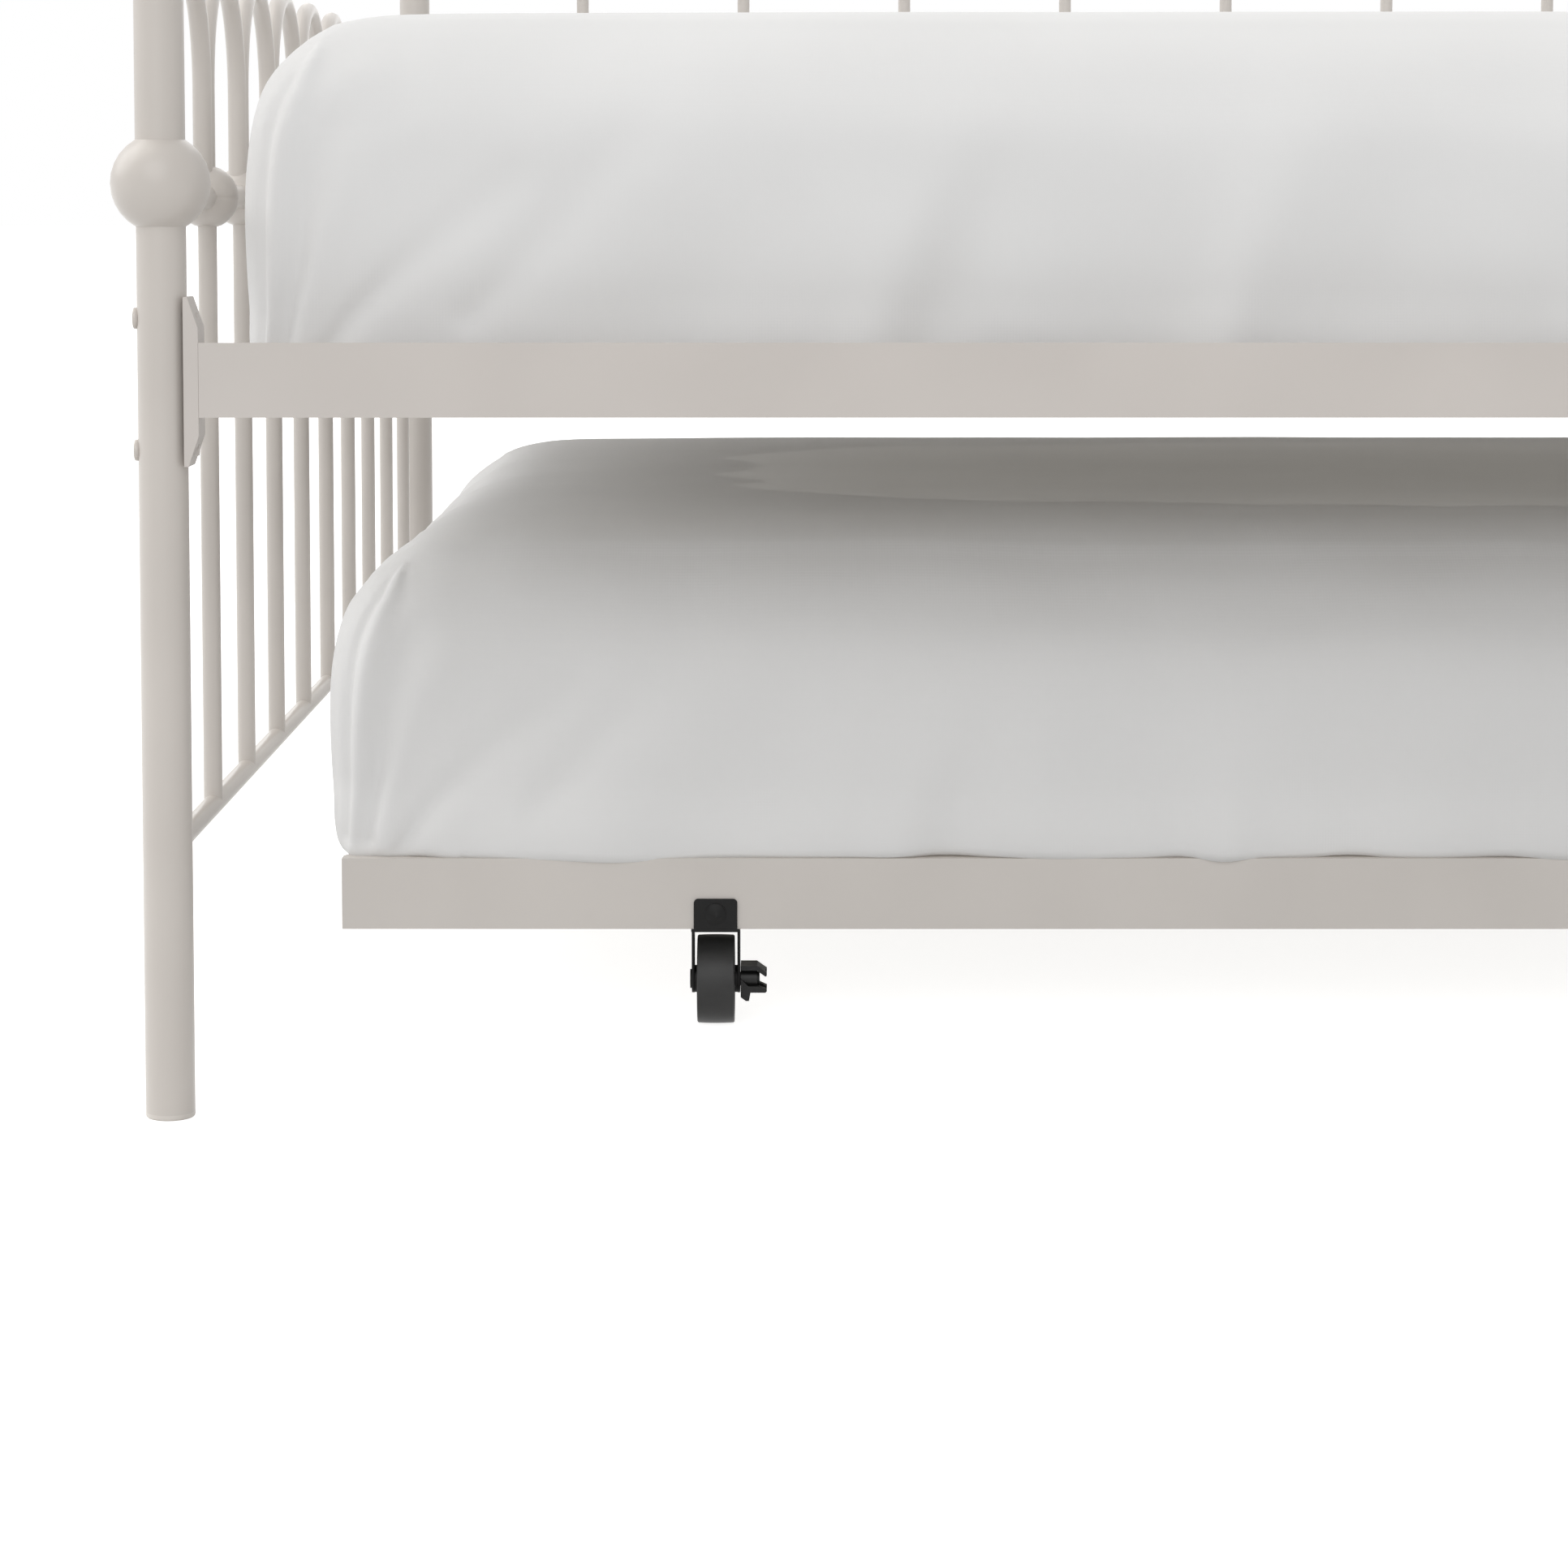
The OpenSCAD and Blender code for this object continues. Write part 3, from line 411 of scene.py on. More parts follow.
def soften_edges(shape: bmesh.types.BMesh, radius: float, sharper_than: float = 40) -> None:
    """Round a shape's sharp edges.

    Args:
        shape: The shape to change.
        radius: Width of the rounding in metres.
        sharper_than: The angle in degrees above which an edge is rounded.
    """
    sharp = [e for e in shape.edges
             if len(e.link_faces) == 2 and e.calc_face_angle(0) > math.radians(sharper_than)]
    bmesh.ops.bevel(shape, geom=sharp, offset=radius, offset_type="OFFSET", segments=2, profile=0.5,
                    affect="EDGES", material=-1, clamp_overlap=True)


def add_softened(node: str, radius: float, finish: Finish) -> None:
    """Replace a CAD node by a copy with softened edges.

    Args:
        node: The node's name.
        radius: Width of the rounding in metres.
        finish: Its finish.
    """
    shape = merged_copy(node)
    soften_edges(shape, radius)
    piece = add_piece(f"{node}_softened", shape, finish, frame["nodes"][node]["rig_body"], [node])
    normals = piece.modifiers.new("Flat faces stay flat", "WEIGHTED_NORMAL")
    normals.keep_sharp = True


# ---------------------------------------------------------------- mesh points


def smooth_step(share: np.ndarray) -> np.ndarray:
    """Ease from 0 to 1 as a share goes from 0 to 1, and stay there outside."""
    share = np.clip(share, 0, 1)
    return share * share * (3 - 2 * share)


def vertex_places(piece: bpy.types.Object) -> np.ndarray:
    """Read where a mesh's vertices are.

    Args:
        piece: The mesh object.

    Returns:
        Rows of X, Y and Z.
    """
    places = np.empty(len(piece.data.vertices) * 3)
    piece.data.vertices.foreach_get("co", places)
    return places.reshape(-1, 3)


def vertex_normals(piece: bpy.types.Object) -> np.ndarray:
    """Read which way a mesh's vertices face.

    Args:
        piece: The mesh object.

    Returns:
        Rows of X, Y and Z, of length 1.
    """
    normals = np.empty(len(piece.data.vertices) * 3)
    piece.data.vertices.foreach_get("normal", normals)
    return normals.reshape(-1, 3)


def set_vertex_places(piece: bpy.types.Object, places: np.ndarray) -> None:
    """Move a mesh's vertices.

    Args:
        piece: The mesh object.
        places: Rows of X, Y and Z.
    """
    piece.data.vertices.foreach_set("co", places.ravel())
    piece.data.update()


def apply_modifiers(piece: bpy.types.Object) -> None:
    """Make a piece's modifiers part of its mesh.

    Args:
        piece: The mesh object.
    """
    bpy.context.view_layer.update()
    graph = bpy.context.evaluated_depsgraph_get()
    made = bpy.data.meshes.new_from_object(piece.evaluated_get(graph), depsgraph=graph)
    piece.modifiers.clear()
    old = piece.data
    piece.data = made
    made.name = piece.name
    bpy.data.meshes.remove(old)


# ---------------------------------------------------------------- mattresses


@dataclass(frozen=True)
class Fold:
    """A soft fold in a mattress cover, as a stroke on its wall.

    Each point says how far along the wall it lies from the corner's middle, positive towards the long
    side, and how high above the mattress's underside. Widths and rises go from the stroke's start to
    its end, and a rise below zero is a valley.
    """

    points: tuple[tuple[float, float], ...]
    widths: tuple[float, float]
    rises: tuple[float, float]

    def heights(self, along: np.ndarray, up: np.ndarray) -> np.ndarray:
        """Work out how far the fold lifts each point of the wall.

        Args:
            along: Distances along the wall.
            up: Heights above the underside.

        Returns:
            Lifts along the surface's normal, negative in a valley.
        """
        nearest = np.full(len(along), np.inf)
        lift = np.zeros(len(along))
        steps = len(self.points) - 1
        for i in range(steps):
            (a0, u0), (a1, u1) = self.points[i:i + 2]
            run = np.array([a1 - a0, u1 - u0])
            share = np.clip(((along - a0) * run[0] + (up - u0) * run[1]) / (run @ run), 0, 1)
            gap = np.hypot(along - a0 - share * run[0], up - u0 - share * run[1])
            way = (i + share) / steps
            rise = self.rises[0] + (self.rises[1] - self.rises[0]) * way
            width = self.widths[0] + (self.widths[1] - self.widths[0]) * way
            closer = gap < nearest
            lift = np.where(closer, rise * np.exp(-(gap / width) ** 2), lift)
            nearest = np.minimum(nearest, gap)
        return lift


CORNER_FOLDS = (
    # the gathered ridge down the corner, the valley beside it and the dent on the end's side
    Fold(((0.040, 0.182), (0.029, 0.162), (0.020, 0.135), (0.014, 0.100), (0.010, 0.055),
          (0.007, 0.002)),
         (0.0095, 0.0086), (0.0026, 0.0052)),
    Fold(((0.046, 0.125), (0.037, 0.100), (0.030, 0.076), (0.024, 0.052), (0.019, 0.036),
          (0.015, 0.010)),
         (0.0110, 0.0058), (-0.0016, -0.0052)),
    Fold(((0.060, 0.118), (0.049, 0.095), (0.040, 0.073), (0.034, 0.050), (0.029, 0.033),
          (0.025, 0.008)),
         (0.0120, 0.0092), (0.0006, 0.0024)),
    Fold(((0.012, 0.150), (0.004, 0.125), (0.001, 0.078), (-0.001, 0.010)),
         (0.0062, 0.0058), (-0.0022, -0.0040)),
    # drag lines that fan up from the corner's foot, with the soft rolls between them
    Fold(((0.037, 0.004), (0.056, 0.030), (0.081, 0.054), (0.108, 0.076), (0.140, 0.100)),
         (0.0046, 0.0125), (-0.0036, -0.0016)),
    Fold(((0.064, 0.012), (0.100, 0.046), (0.140, 0.082)), (0.014, 0.022), (0.0010, 0.0005)),
    Fold(((0.117, 0.030), (0.138, 0.051), (0.158, 0.074), (0.177, 0.098), (0.201, 0.121)),
         (0.0080, 0.0170), (-0.0024, -0.0015)),
    Fold(((0.154, 0.024), (0.184, 0.058), (0.212, 0.096)), (0.022, 0.026), (0.0012, 0.0004)),
    # small gathers where the ridge runs out over the top edge
    Fold(((0.062, 0.205), (0.052, 0.190)), (0.0070, 0.0060), (-0.0009, -0.0005)),
    # the end has drag lines of its own
    Fold(((-0.052, 0.006), (-0.080, 0.044), (-0.118, 0.084)), (0.006, 0.012), (-0.0030, -0.0006)),
    Fold(((-0.095, 0.012), (-0.130, 0.050), (-0.162, 0.086)), (0.018, 0.018), (0.0016, 0.0006)),
    Fold(((-0.140, 0.018), (-0.175, 0.062), (-0.204, 0.100)), (0.012, 0.016), (-0.0022, -0.0006)),
)
SIDE_FOLDS = (
    # long soft rolls along the side
    Fold(((0.208, 0.004), (0.242, 0.058), (0.288, 0.087), (0.317, 0.108)),
         (0.034, 0.034), (-0.0042, -0.0013)),
    Fold(((0.316, -0.010), (0.338, 0.055), (0.356, 0.087), (0.370, 0.114)),
         (0.018, 0.018), (0.0038, 0.0010)),
    Fold(((0.348, -0.006), (0.364, 0.053), (0.377, 0.080), (0.390, 0.108)),
         (0.015, 0.018), (-0.0042, -0.0013)),
    Fold(((0.402, 0.026), (0.412, 0.065)), (0.025, 0.025), (0.0026, 0.0013)),
    Fold(((0.469, 0.002), (0.486, 0.062), (0.500, 0.095), (0.511, 0.125)),
         (0.034, 0.034), (-0.0038, -0.0013)),
    Fold(((0.503, -0.010), (0.517, 0.055), (0.530, 0.087), (0.543, 0.114)),
         (0.016, 0.018), (0.0042, 0.0010)),
    Fold(((0.555, 0.002), (0.582, 0.062), (0.595, 0.091)), (0.034, 0.034), (-0.0035, -0.0013)),
    Fold(((0.690, 0.000), (0.720, 0.050), (0.745, 0.090)), (0.022, 0.028), (0.0035, 0.0013)),
    Fold(((0.760, 0.000), (0.785, 0.055), (0.800, 0.095)), (0.026, 0.030), (-0.0035, -0.0013)),
)


@dataclass(frozen=True)
class Mattress:
    """A foam mattress in a fitted cotton cover."""

    node: str
    body: str
    seed: int
    # corners in plan: the CAD solid's radius, about what it measures once the cover is pulled square,
    # and the power of the squarer curve
    solid_radius: float = 0.100
    wall_radius: float = 0.050
    squareness: float = 4.4
    end_room: float = 0.0005
    voxel: float = 0.018
    # the puff: its pressure, the furthest it moves a point, and how stiff the cover is
    pressure: float = 0.3
    reach: float = 0.003
    stretch_stiffness: float = 15.0
    shear_stiffness: float = 5.0
    bending_stiffness: float = 0.5
    puff_steps: int = 20
    cloth_quality: int = 5
    # how the remesh's steps are smoothed away, then the crown's height in the middle
    smoothing: float = 0.5
    smoothing_rounds: int = 5
    crown: float = 0.0065
    # how strong the side's folds are, and how the folds differ from corner to corner
    slack: float = 1.0
    fold_strengths: tuple[float, float] = (0.6, 1.1)
    fold_slip: float = 0.012
    # the soft unevenness: how high its longest swell is, and how long each swell is
    unevenness: float = 0.0010
    swells: tuple[float, ...] = (0.26, 0.17, 0.11, 0.07)
    # the foot: how high it reaches, how square it is, and how far the cover hangs over the rail
    lip: float = 0.045
    side_tightness: float = 20.0
    end_tightness: float = 2.3
    overhang: float = 0.0
    drops: tuple[tuple[float, float, float], ...] = ()  # centre in X, half width and depth
    # the shares of the foot's height over which its shapes fade in, and where its outer edge begins
    fade_across: float = 0.3
    fade_up: float = 0.6
    edge_start: float = 0.75
    edge_width: float = 0.2
    # where the wall's own line is measured: how far from a corner, at how many places, how high
    line_reach: float = 0.12
    line_places: int = 49
    line_band: tuple[float, float] = (0.05, 0.10)
    line_depth: float = 0.010
    line_half_width: float = 0.005
    # where the mesh is split: how near a corner and how high along the foot, and how far in
    split_zones: tuple[tuple[float, float], ...] = ((0.24, 0.045), (0.085, 0.0))
    split_depth: float = 0.045
    level_normal: float = 0.98

    def build(self) -> None:
        """Make the mattress, puff it, fold its cover and put it in place of its CAD solid."""
        shape = merged_copy(self.node)
        bmesh.ops.triangulate(shape, faces=shape.faces)
        piece = add_piece(f"{self.node}_cover", shape, Finish.COVER, self.body,
                          [self.node])
        self.remesh(piece)
        self.puff(piece)
        self.fit(piece)
        self.refine(piece)
        self.square_foot(piece)
        self.fold(piece)
        for face in piece.data.polygons:
            face.use_smooth = True
        LOG.info("%s has %d faces", piece.name, len(piece.data.polygons))

    def box(self) -> tuple[np.ndarray, np.ndarray]:
        """Give the lowest and highest corners of the cover, which leaves the ends a little room."""
        low, high = (np.array(corner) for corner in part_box(self.node))
        low[0] += self.end_room
        high[0] -= self.end_room
        return low, high

    def remesh(self, piece: bpy.types.Object) -> None:
        """Cover the shape with even quads.

        Args:
            piece: The mattress.
        """
        even = piece.modifiers.new("Even quads", "REMESH")
        even.mode = "VOXEL"
        even.voxel_size = self.voxel
        apply_modifiers(piece)

    def puff(self, piece: bpy.types.Object) -> None:
        """Inflate the cover with a cloth simulation, from a slightly smaller shape.

        Args:
            piece: The mattress.
        """
        start = vertex_places(piece) - self.reach * vertex_normals(piece)
        set_vertex_places(piece, start)
        cloth = piece.modifiers.new("Puff", "CLOTH")
        cloth.settings.quality = self.cloth_quality
        cloth.settings.use_pressure = True
        cloth.settings.uniform_pressure_force = self.pressure
        cloth.settings.effector_weights.gravity = 0
        cloth.settings.tension_stiffness = self.stretch_stiffness
        cloth.settings.compression_stiffness = self.stretch_stiffness
        cloth.settings.shear_stiffness = self.shear_stiffness
        cloth.settings.bending_stiffness = self.bending_stiffness
        scene = bpy.context.scene
        for step in range(1, self.puff_steps + 1):
            scene.frame_set(step)
        puffed = piece.evaluated_get(bpy.context.evaluated_depsgraph_get())
        places = np.empty(len(start) * 3)
        puffed.data.vertices.foreach_get("co", places)
        piece.modifiers.remove(cloth)
        scene.frame_set(1)
        moves = places.reshape(-1, 3) - start
        lengths = np.linalg.norm(moves, axis=1, keepdims=True)
        LOG.info("%s puffed by up to %.1f mm", piece.name, lengths.max() / MM)
        moves *= np.minimum(1, self.reach / np.maximum(lengths, TINY))
        set_vertex_places(piece, start + moves)

    def fit(self, piece: bpy.types.Object) -> None:
        """Smooth the steps of the remesh, subdivide once, fit the shape to its box and crown its top.

        Args:
            piece: The mattress.
        """
        smooth = piece.modifiers.new("Even out", "SMOOTH")
        smooth.factor = self.smoothing
        smooth.iterations = self.smoothing_rounds
        finer = piece.modifiers.new("Finer", "SUBSURF")
        finer.levels = finer.render_levels = 1
        apply_modifiers(piece)
        low, high = self.box()
        places = vertex_places(piece)
        own_low, own_high = places.min(axis=0), places.max(axis=0)
        share = (places - own_low) / (own_high - own_low)
        places = low + share * (high - low)
        # nearly level from front to back, and a little higher in the middle of the length
        across = 1 - np.abs(2 * share[:, :2] - 1) ** 4
        lift = (0.6 + 0.4 * across[:, 0]) * across[:, 1] ** 0.3
        places[:, 2] += self.crown * np.clip(2 * share[:, 2] - 1, 0, 1) * lift
        set_vertex_places(piece, self.square_corners(places))

    def square_corners(self, places: np.ndarray) -> np.ndarray:
        """Pull the four corners outwards in plan, as a boxed cover does, to a squarer curve.

        Args:
            places: Rows of X, Y and Z.

        Returns:
            The new rows.
        """
        low, high = self.box()
        middle, half = (low + high)[:2] / 2, (high - low)[:2] / 2
        offset = places[:, :2] - middle
        from_centre = np.maximum(self.solid_radius - half + np.abs(offset), TINY)
        round_length = np.hypot(from_centre[:, 0], from_centre[:, 1])
        square_length = (from_centre ** self.squareness).sum(axis=1) ** (1 / self.squareness)
        pulled = places.copy()
        pulled[:, :2] += np.sign(offset) * from_centre * (round_length / square_length - 1)[:, None]
        return pulled

    def refine(self, piece: bpy.types.Object) -> None:
        """Split the faces along the foot and round the corners, for the tighter shapes there.

        Args:
            piece: The mattress.
        """
        low, high = self.box()
        middle, half = (low + high) / 2, (high - low) / 2
        shape = bmesh.new()
        shape.from_mesh(piece.data)
        for zone, foot in self.split_zones:

            def is_near(v: bmesh.types.BMVert) -> bool:
                """Tell whether a vertex is on a wall and near a corner or the foot."""
                from_x, from_y = half[0] - abs(v.co.x - middle[0]), half[1] - abs(v.co.y - middle[1])
                close = max(from_x, from_y) < zone or v.co.z < low[2] + foot
                on_edge = min(from_x, from_y) < self.split_depth
                return close and on_edge and abs(v.normal.z) < self.level_normal

            near = [e for e in shape.edges if is_near(e.verts[0]) and is_near(e.verts[1])]
            bmesh.ops.subdivide_edges(shape, edges=near, cuts=1, use_grid_fill=True, smooth=0.0)
        shape.to_mesh(piece.data)
        shape.free()

    def wall_place(self, places: np.ndarray) -> tuple[np.ndarray, np.ndarray, np.ndarray]:
        """Lay the walls flat.

        Args:
            places: Rows of X, Y and Z.

        Returns:
            For each point, the distance along the wall from the nearest corner's middle, positive on
            the long side, the distance in from the wall, and the outward direction in X and Y.
        """
        low, high = self.box()
        middle, half = (low + high) / 2, (high - low) / 2
        offset = places - middle
        inward = half - np.abs(offset)
        radius = self.wall_radius
        from_centre = np.maximum(radius - inward[:, :2], 0)
        angle = np.arctan2(from_centre[:, 0], np.maximum(from_centre[:, 1], TINY))
        along = radius * (math.pi / 4 - angle)
        along += np.maximum(inward[:, 0] - radius, 0) * (inward[:, 1] < radius)
        along -= np.maximum(inward[:, 1] - radius, 0) * (inward[:, 0] < radius)
        length = np.maximum(np.hypot(from_centre[:, 0], from_centre[:, 1]), TINY)
        outward = np.sign(offset[:, :2]) * from_centre / length[:, None]
        return along, radius - length, outward

    def square_foot(self, piece: bpy.types.Object) -> None:
        """Draw the cover's lower edge out over the rails it rests on, with a soft uneven line.

        Args:
            piece: The mattress.
        """
        low, _ = self.box()
        places = vertex_places(piece)
        along, inward, outward = self.wall_place(places)
        up = places[:, 2] - low[2]
        # the wall's own line round the corner, measured above the foot
        stations = np.linspace(-self.line_reach, self.line_reach, self.line_places)
        lowest, highest = self.line_band
        above_foot = (up > lowest) & (up < highest) & (inward < self.line_depth)
        wall_line = [np.median(inward[above_foot & (np.abs(along - place) < self.line_half_width)])
                     for place in stations]
        inward -= np.interp(along, stations, wall_line)
        across, rise = np.clip(1 - inward / self.lip, 0, 1), np.clip(1 - up / self.lip, 0, None)
        # 0 on the ends, 1 on the long sides, and nearly 1 from a corner's middle on
        long_side = smooth_step(np.abs(outward[:, 1]) * 1.4)
        tightness = self.end_tightness + (self.side_tightness - self.end_tightness) * long_side
        # a squarer curve from the wall to the underside, which fades out inwards and upwards
        share = smooth_step(across / self.fade_across) * smooth_step(rise / self.fade_up)
        size = (across ** tightness + rise ** tightness) ** (1 / tightness)
        grow = share * (1 / np.maximum(size, 0.2) - 1)
        # the overhang along the long sides, with its drops, which goes outwards a little less than down
        depth = np.full(len(places), self.overhang)
        for centre, half_width, drop in self.drops:
            depth += drop * np.exp(-((places[:, 0] - centre) / half_width) ** 2)
        depth *= long_side * smooth_step(rise / self.fade_up)
        places[:, :2] += outward * (self.lip * across * grow + 0.8 * depth * smooth_step(across))[:, None]
        near_edge = smooth_step((across * (1 + grow) - self.edge_start) / self.edge_width)
        places[:, 2] -= self.lip * rise * grow + depth * near_edge * smooth_step(rise)
        set_vertex_places(piece, places)

    def fold(self, piece: bpy.types.Object) -> None:
        """Press the cover's folds and soft unevenness into the wall.

        Args:
            piece: The mattress.
        """
        places, normals = vertex_places(piece), vertex_normals(piece)
        low, high = self.box()
        middle = (low + high) / 2
        side = np.sign(places - middle)
        along, _, outward = self.wall_place(places)
        on_wall = np.abs(outward).sum(axis=1) > 0
        flat = np.hypot(normals[:, 0], normals[:, 1])
        normals[on_wall, :2] = (outward * flat[:, None])[on_wall]
        up = places[:, 2] - low[2]
        wall = np.clip(flat * 1.3, 0, 1)  # fades out over the rounded edges
        chance = np.random.default_rng(self.seed)
        lift = np.zeros(len(places))
        # the front left corner has the folds as they are written, and the others vary them
        for x_side in (-1, 1):
            for y_side in (-1, 1):
                here = (side[:, 0] == x_side) & (side[:, 1] == y_side)
                front_left = x_side < 0 and y_side < 0
                for strokes, slack in ((CORNER_FOLDS, 1.0), (SIDE_FOLDS, self.slack)):
                    for stroke in strokes:
                        strength = slack * (1.0 if front_left else chance.uniform(*self.fold_strengths))
                        slip = 0.0 if front_left else chance.uniform(-self.fold_slip, self.fold_slip)
                        lift += here * strength * stroke.heights(along - slip, up)
        for length in self.swells:
            heading = chance.normal(size=3)
            heading *= 2 * math.pi / length / np.linalg.norm(heading)
            wave = np.sin(places @ heading + chance.uniform(0, 2 * math.pi))
            lift += self.unevenness * length / self.swells[0] * wave
        set_vertex_places(piece, places + normals * (lift * wall)[:, None])


# ---------------------------------------------------------------- balls on the bars


@dataclass(frozen=True)
class BarBalls:
    """A row of small balls that clamp the hoops and spindles to a bar, each with a fine parting line."""

    panel: str
    axis: int  # the bar's direction: 0 along X, 1 along Y
    count: int
    radius: float = 17 * MM
    groove_width: float = 0.8 * MM
    groove_depth: float = 0.35 * MM
    facets_around: int = 36
    facets_up: int = 20

    def build(self) -> None:
        """Make the row in place of its CAD node."""
        node = f"{self.panel}_bar_balls"
        low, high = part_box(node)
        bar_low, bar_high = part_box(f"{self.panel}_bar")
        shape = bmesh.new()
        for i in range(self.count):
            centre = (bar_low + bar_high) / 2
            first, last = low[self.axis] + self.radius, high[self.axis] - self.radius
            centre[self.axis] = first + (last - first) * i / (self.count - 1)
            self.add_ball(shape, centre)
        add_piece(f"{node}_parted", shape, Finish.FRAME, "daybed", [node])

    def add_ball(self, shape: bmesh.types.BMesh, centre: Vector) -> None:
        """Add one ball with its parting line level with its centre.

        Args:
            shape: The bmesh that gets the ball.
            centre: The ball's centre.
        """
        ball = bmesh.new()
        bmesh.ops.create_uvsphere(ball, u_segments=self.facets_around, v_segments=self.facets_up,
                                  radius=self.radius)
        for lift in (-self.groove_width / 2, self.groove_width / 2):
            bmesh.ops.bisect_plane(ball, geom=[*ball.verts, *ball.edges, *ball.faces], dist=NEAR,
                                   plane_co=(0, 0, lift), plane_no=(0, 0, 1))
        for v in ball.verts:
            if abs(v.co.z) < NEAR:
                v.co *= 1 - self.groove_depth / self.radius
        bmesh.ops.translate(ball, verts=ball.verts, vec=centre)
        join_into(shape, ball)


@dataclass(frozen=True)
class PostBolts:
    """The bolts through the posts, with pan heads seated on the round of the post."""

    head_radius: float = 5.5 * MM
    head_rise: float = 1.8 * MM
    seat: float = 1.1 * MM
    edge: float = 0.7 * MM
    shank_radius: float = 2.9 * MM
    shank_length: float = 31 * MM
    head_facets: int = 40
    edge_facets: int = 4
    shank_facets: int = 24

    def build(self) -> None:
        """Make the eight bolts in place of their CAD node."""
        low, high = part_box("post_bolts")
        shape = bmesh.new()
        for corner in ("front_left", "rear_left", "front_right", "rear_right"):
            post_low, post_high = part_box(f"{corner}_post")
            inward = 1 if "left" in corner else -1
            tip = low.x if inward > 0 else high.x
            for height in (low.z + self.head_radius, high.z - self.head_radius):
                self.add_bolt(shape, Vector((tip, (post_low.y + post_high.y) / 2, height)), inward)
        add_piece("post_bolts_pan", shape, Finish.FRAME, "daybed", ["post_bolts"])

    def add_bolt(self, shape: bmesh.types.BMesh, tip: Vector, inward: int) -> None:
        """Add one bolt.

        Args:
            shape: The bmesh that gets the bolt.
            tip: The middle of the head's outer face.
            inward: 1 or -1, the way its shank points along X.
        """
        bolt = bmesh.new()
        depth = self.head_rise + self.seat
        head = bmesh.ops.create_cone(bolt, cap_ends=True, segments=self.head_facets, depth=depth,
                                     radius1=self.head_radius, radius2=self.head_radius)["verts"]
        bmesh.ops.translate(bolt, verts=head, vec=(0, 0, depth / 2))
        rim = [e for e in bolt.edges if all(v.co.z < NEAR for v in e.verts) and len(e.link_faces) == 2]
        bmesh.ops.bevel(bolt, geom=rim, offset=self.edge, offset_type="OFFSET",
                        segments=self.edge_facets, profile=0.5, affect="EDGES", material=-1)
        shank = bmesh.ops.create_cone(bolt, cap_ends=True, segments=self.shank_facets,
                                      depth=self.shank_length, radius1=self.shank_radius,
                                      radius2=self.shank_radius)["verts"]
        bmesh.ops.translate(bolt, verts=shank, vec=(0, 0, self.head_rise + self.shank_length / 2))
        turn = Matrix.Rotation(inward * math.pi / 2, 4, "Y")
        bmesh.ops.transform(bolt, matrix=Matrix.Translation(tip) @ turn, verts=bolt.verts)
        join_into(shape, bolt)


# ---------------------------------------------------------------- sub-assemblies


@dataclass(frozen=True)
class Daybed:
    """The frame: posts, arms, back, side rails and deck, with its mattress."""

    rail_edge: float = 0.7 * MM
    bracket_edge: float = 0.4 * MM
    slat_edge: float = 0.6 * MM
    arm_balls: int = 9
    back_balls: int = 13
    painted: tuple[str, ...] = (
        "front_left_post", "front_right_post", "rear_left_post", "rear_right_post", "post_balls",
        "post_finials", "back_lower_rail", "back_bar", "back_spindles", "back_hoops",
        "left_arm_lower_rail", "left_arm_bar", "left_arm_spindles", "left_arm_hoops",
        "right_arm_lower_rail", "right_arm_bar", "right_arm_spindles", "right_arm_hoops",
    )

    def build(self) -> None:
        """Dress the CAD nodes and make the pieces that replace some of them."""
        for node in self.painted:
            dress(frame["nodes"][node], Finish.FRAME)
        dress(frame["nodes"]["foot_caps"], Finish.CAP)
        dress(frame["nodes"]["deck_slat_caps"], Finish.CAP)
        for node in ("bracket_nuts", "deck_slat_screws"):
            dress(frame["nodes"][node], Finish.ZINC)
        for side in ("left", "right"):
            BarBalls(f"{side}_arm", axis=1, count=self.arm_balls).build()
        BarBalls("back", axis=0, count=self.back_balls).build()
        for node in ("front_side_rail", "rear_side_rail"):
            add_softened(node, self.rail_edge, Finish.RAIL)
        add_softened("rail_brackets", self.bracket_edge, Finish.RAIL)
        PostBolts().build()
        add_softened("deck_slats", self.slat_edge, Finish.SLAT)
        Mattress("daybed_mattress", "daybed", seed=7).build()


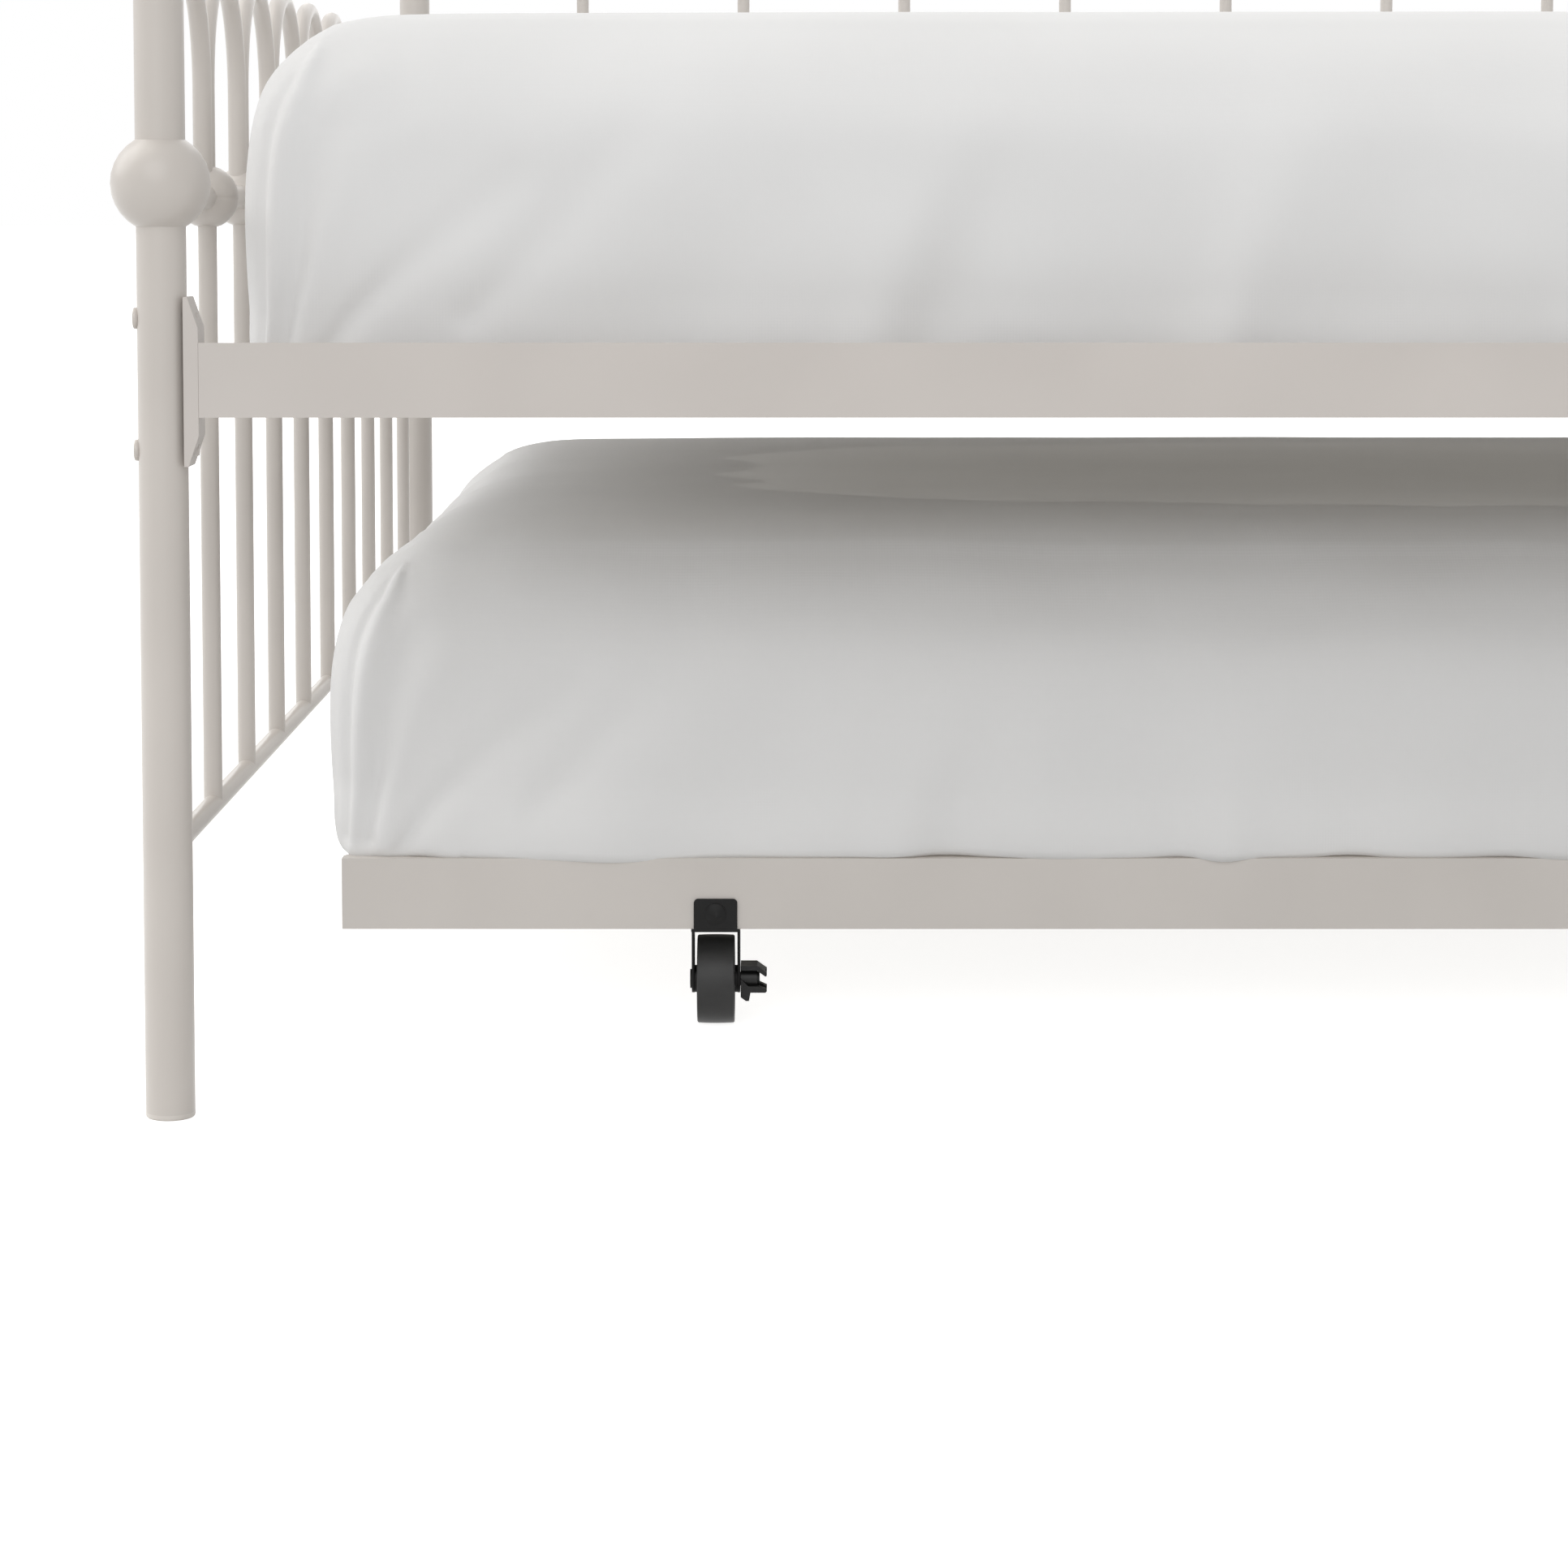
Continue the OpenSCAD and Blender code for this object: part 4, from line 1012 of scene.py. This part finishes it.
@dataclass(frozen=True)
class Trundle:
    """The pull-out frame: rails, slats and casters, with its mattress."""

    rail_edge: float = 0.5 * MM
    slat_edge: float = 0.6 * MM
    fork_edge: float = 0.3 * MM
    lever_edge: float = 0.3 * MM
    cover_overhang: float = 0.0026
    # where the cover's foot hangs lower or rides up: centre in X, half width and depth
    cover_drops: tuple[tuple[float, float, float], ...] = (
        (-0.740, 0.040, 0.0026), (-0.862, 0.012, -0.0015), (-0.562, 0.050, -0.0022),
        (-0.427, 0.015, -0.0021), (-0.330, 0.018, -0.0021), (-0.238, 0.025, -0.0021),
        (0.120, 0.060, 0.0020), (0.480, 0.050, -0.0021), (0.770, 0.050, 0.0020),
    )
    corners: tuple[str, ...] = ("front_left", "front_right", "rear_left", "rear_right")

    def build(self) -> None:
        """Dress the CAD nodes and make the pieces that replace some of them."""
        for part in ("front", "rear", "left", "right"):
            add_softened(f"trundle_{part}_rail", self.rail_edge, Finish.TRUNDLE)
        add_softened("trundle_slats", self.slat_edge, Finish.SLAT)
        dress(frame["nodes"]["trundle_slat_caps"], Finish.CAP)
        for node in ("trundle_slat_screws", "caster_nuts"):
            dress(frame["nodes"][node], Finish.ZINC)
        for node in ("caster_bolts", "caster_axles", "axle_washers", "axle_push_nuts"):
            dress(frame["nodes"][node], Finish.CASTER)
        for corner in self.corners:
            add_softened(f"{corner}_fork", self.fork_edge, Finish.CASTER)
            dress(frame["nodes"][f"{corner}_wheel"], Finish.WHEEL)
        for side in ("left", "right"):
            add_softened(f"{side}_brake_lever", self.lever_edge, Finish.LEVER)
        Mattress("trundle_mattress", "trundle", seed=11, slack=0.7, unevenness=0.0016, side_tightness=16,
                 end_tightness=3.4, overhang=self.cover_overhang, drops=self.cover_drops).build()


# ---------------------------------------------------------------- studio


@dataclass(frozen=True)
class Lamp:
    """A far lamp with a wide soft face."""

    name: str
    place: tuple[float, float, float]
    strength: float
    softness: float = math.radians(50)
    casts_shadow: bool = True
    colour: tuple[float, float, float] = (1.0, 1.0, 1.0)

    def build(self) -> None:
        """Hang the lamp."""
        light = bpy.data.lights.new(self.name, "SUN")
        light.energy = self.strength
        light.angle = self.softness
        light.use_shadow = self.casts_shadow
        light.color = self.colour
        lamp = bpy.data.objects.new(self.name, light)
        lamp.rotation_mode = "QUATERNION"
        lamp.rotation_quaternion = Vector(self.place).to_track_quat("Z", "Y")
        bpy.context.scene.collection.objects.link(lamp)


@dataclass(frozen=True)
class Studio:
    """A white studio: a pale floor, an even sky, a soft key from the left, a fill and a back lamp.

    Two weak lamps without shadow stand in for the light that white walls throw under the deck.
    """

    floor_size: float = 120.0
    floor_colour: str = "#DADADA"
    floor_glow: float = 0.75
    sky: float = 0.545
    lamps: tuple[Lamp, ...] = (
        Lamp("Soft_key", (-0.80, 0.22, 0.56), 1.08),
        Lamp("Soft_fill", (-0.06, -0.92, 0.55), 0.80),
        Lamp("Soft_back", (0.20, 0.92, 0.33), 0.50),
        Lamp("Soft_lift_above", (-0.40, 0.10, 0.90), 0.53, casts_shadow=False, colour=(1.0, 0.955, 0.87)),
        Lamp("Soft_lift_front", (-0.06, -0.95, 0.30), 0.12, casts_shadow=False),
    )

    def build(self) -> None:
        """Make the floor, the lamps and the sky."""
        shape = bmesh.new()
        bmesh.ops.create_grid(shape, x_segments=1, y_segments=1, size=self.floor_size / 2)
        mesh = bpy.data.meshes.new("Studio_floor")
        shape.to_mesh(mesh)
        shape.free()
        floor = bpy.data.objects.new("Studio_floor", mesh)
        bpy.context.scene.collection.objects.link(floor)
        mesh.materials.append(self.floor_material())
        for lamp in self.lamps:
            lamp.build()
        self.build_sky()

    @staticmethod
    def seen_rays(tree: bpy.types.NodeTree) -> bpy.types.NodeSocket:
        """Give a socket that is 1 for rays that show a background: camera, glossy and transmission rays.

        Args:
            tree: The tree that gets the nodes.

        Returns:
            The factor socket.
        """
        rays = add_node(tree, "ShaderNodeLightPath")
        first = add_node(tree, "ShaderNodeMath", {"operation": "MAXIMUM"},
                         links={0: rays.outputs["Is Camera Ray"], 1: rays.outputs["Is Glossy Ray"]})
        both = add_node(tree, "ShaderNodeMath", {"operation": "MAXIMUM"},
                        links={0: first.outputs[0], 1: rays.outputs["Is Transmission Ray"]})
        return both.outputs[0]

    def floor_material(self) -> bpy.types.Material:
        """Make a matt white floor that glows a little where it is seen, and keeps the bed's shadow."""
        material = bpy.data.materials.new("Studio_floor")
        material.use_nodes = True
        tree = material.node_tree
        tree.nodes.clear()
        matt = add_node(tree, "ShaderNodeBsdfDiffuse", values={"Color": linear(self.floor_colour)})
        glow = add_node(tree, "ShaderNodeEmission", values={"Strength": self.floor_glow})
        both = add_node(tree, "ShaderNodeAddShader", links={0: matt.outputs[0], 1: glow.outputs[0]})
        mix = add_node(tree, "ShaderNodeMixShader",
                       links={0: self.seen_rays(tree), 1: matt.outputs[0], 2: both.outputs[0]})
        add_node(tree, "ShaderNodeOutputMaterial", links={"Surface": mix.outputs[0]})
        return material

    def build_sky(self) -> None:
        """Make an even sky that is pure white where it is seen."""
        world = bpy.data.worlds.new("Studio_sky")
        bpy.context.scene.world = world
        world.use_nodes = True
        tree = world.node_tree
        tree.nodes.clear()
        lit = add_node(tree, "ShaderNodeBackground", values={"Strength": self.sky})
        seen = add_node(tree, "ShaderNodeBackground", values={"Strength": 1.0})
        for background in (lit, seen):
            background.inputs["Color"].default_value = (1, 1, 1, 1)
        mix = add_node(tree, "ShaderNodeMixShader",
                       links={0: self.seen_rays(tree), 1: lit.outputs[0], 2: seen.outputs[0]})
        add_node(tree, "ShaderNodeOutputWorld", links={"Surface": mix.outputs[0]})


@dataclass(frozen=True)
class Camera:
    """A long lens at sofa height, near the front-left corner, with the top of the bed out of view."""

    place: tuple[float, float, float] = (-0.6542, -2.7587, 0.4744)
    tilt: float = math.radians(4.132)
    lens: float = 92.30
    sensor: float = 36.0
    shift: float = -0.19
    reach: float = 200.0

    def build(self) -> None:
        """Make the camera and use it."""
        data = bpy.data.cameras.new("Camera")
        data.lens = self.lens
        data.sensor_width = self.sensor
        data.shift_y = self.shift
        data.clip_end = self.reach
        camera = bpy.data.objects.new("Camera", data)
        camera.location = self.place
        camera.rotation_euler = (math.pi / 2 - self.tilt, 0, 0)
        bpy.context.scene.collection.objects.link(camera)
        bpy.context.scene.camera = camera


def clear_stray_objects() -> None:
    """Remove whatever a new file holds that isn't part of the frame."""
    kept = {*frame["bodies"].values(), *frame["nodes"].values()}
    for thing in list(bpy.data.objects):
        if thing not in kept:
            bpy.data.objects.remove(thing)


def main() -> None:
    """Build the bed's looks and its studio."""
    logging.basicConfig(level=logging.INFO, format="%(message)s")
    clear_stray_objects()
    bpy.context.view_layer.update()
    Camera().build()
    Studio().build()
    Daybed().build()
    Trundle().build()
    bpy.context.scene.view_settings.view_transform = "Standard"


if __name__ == "__main__":
    main()
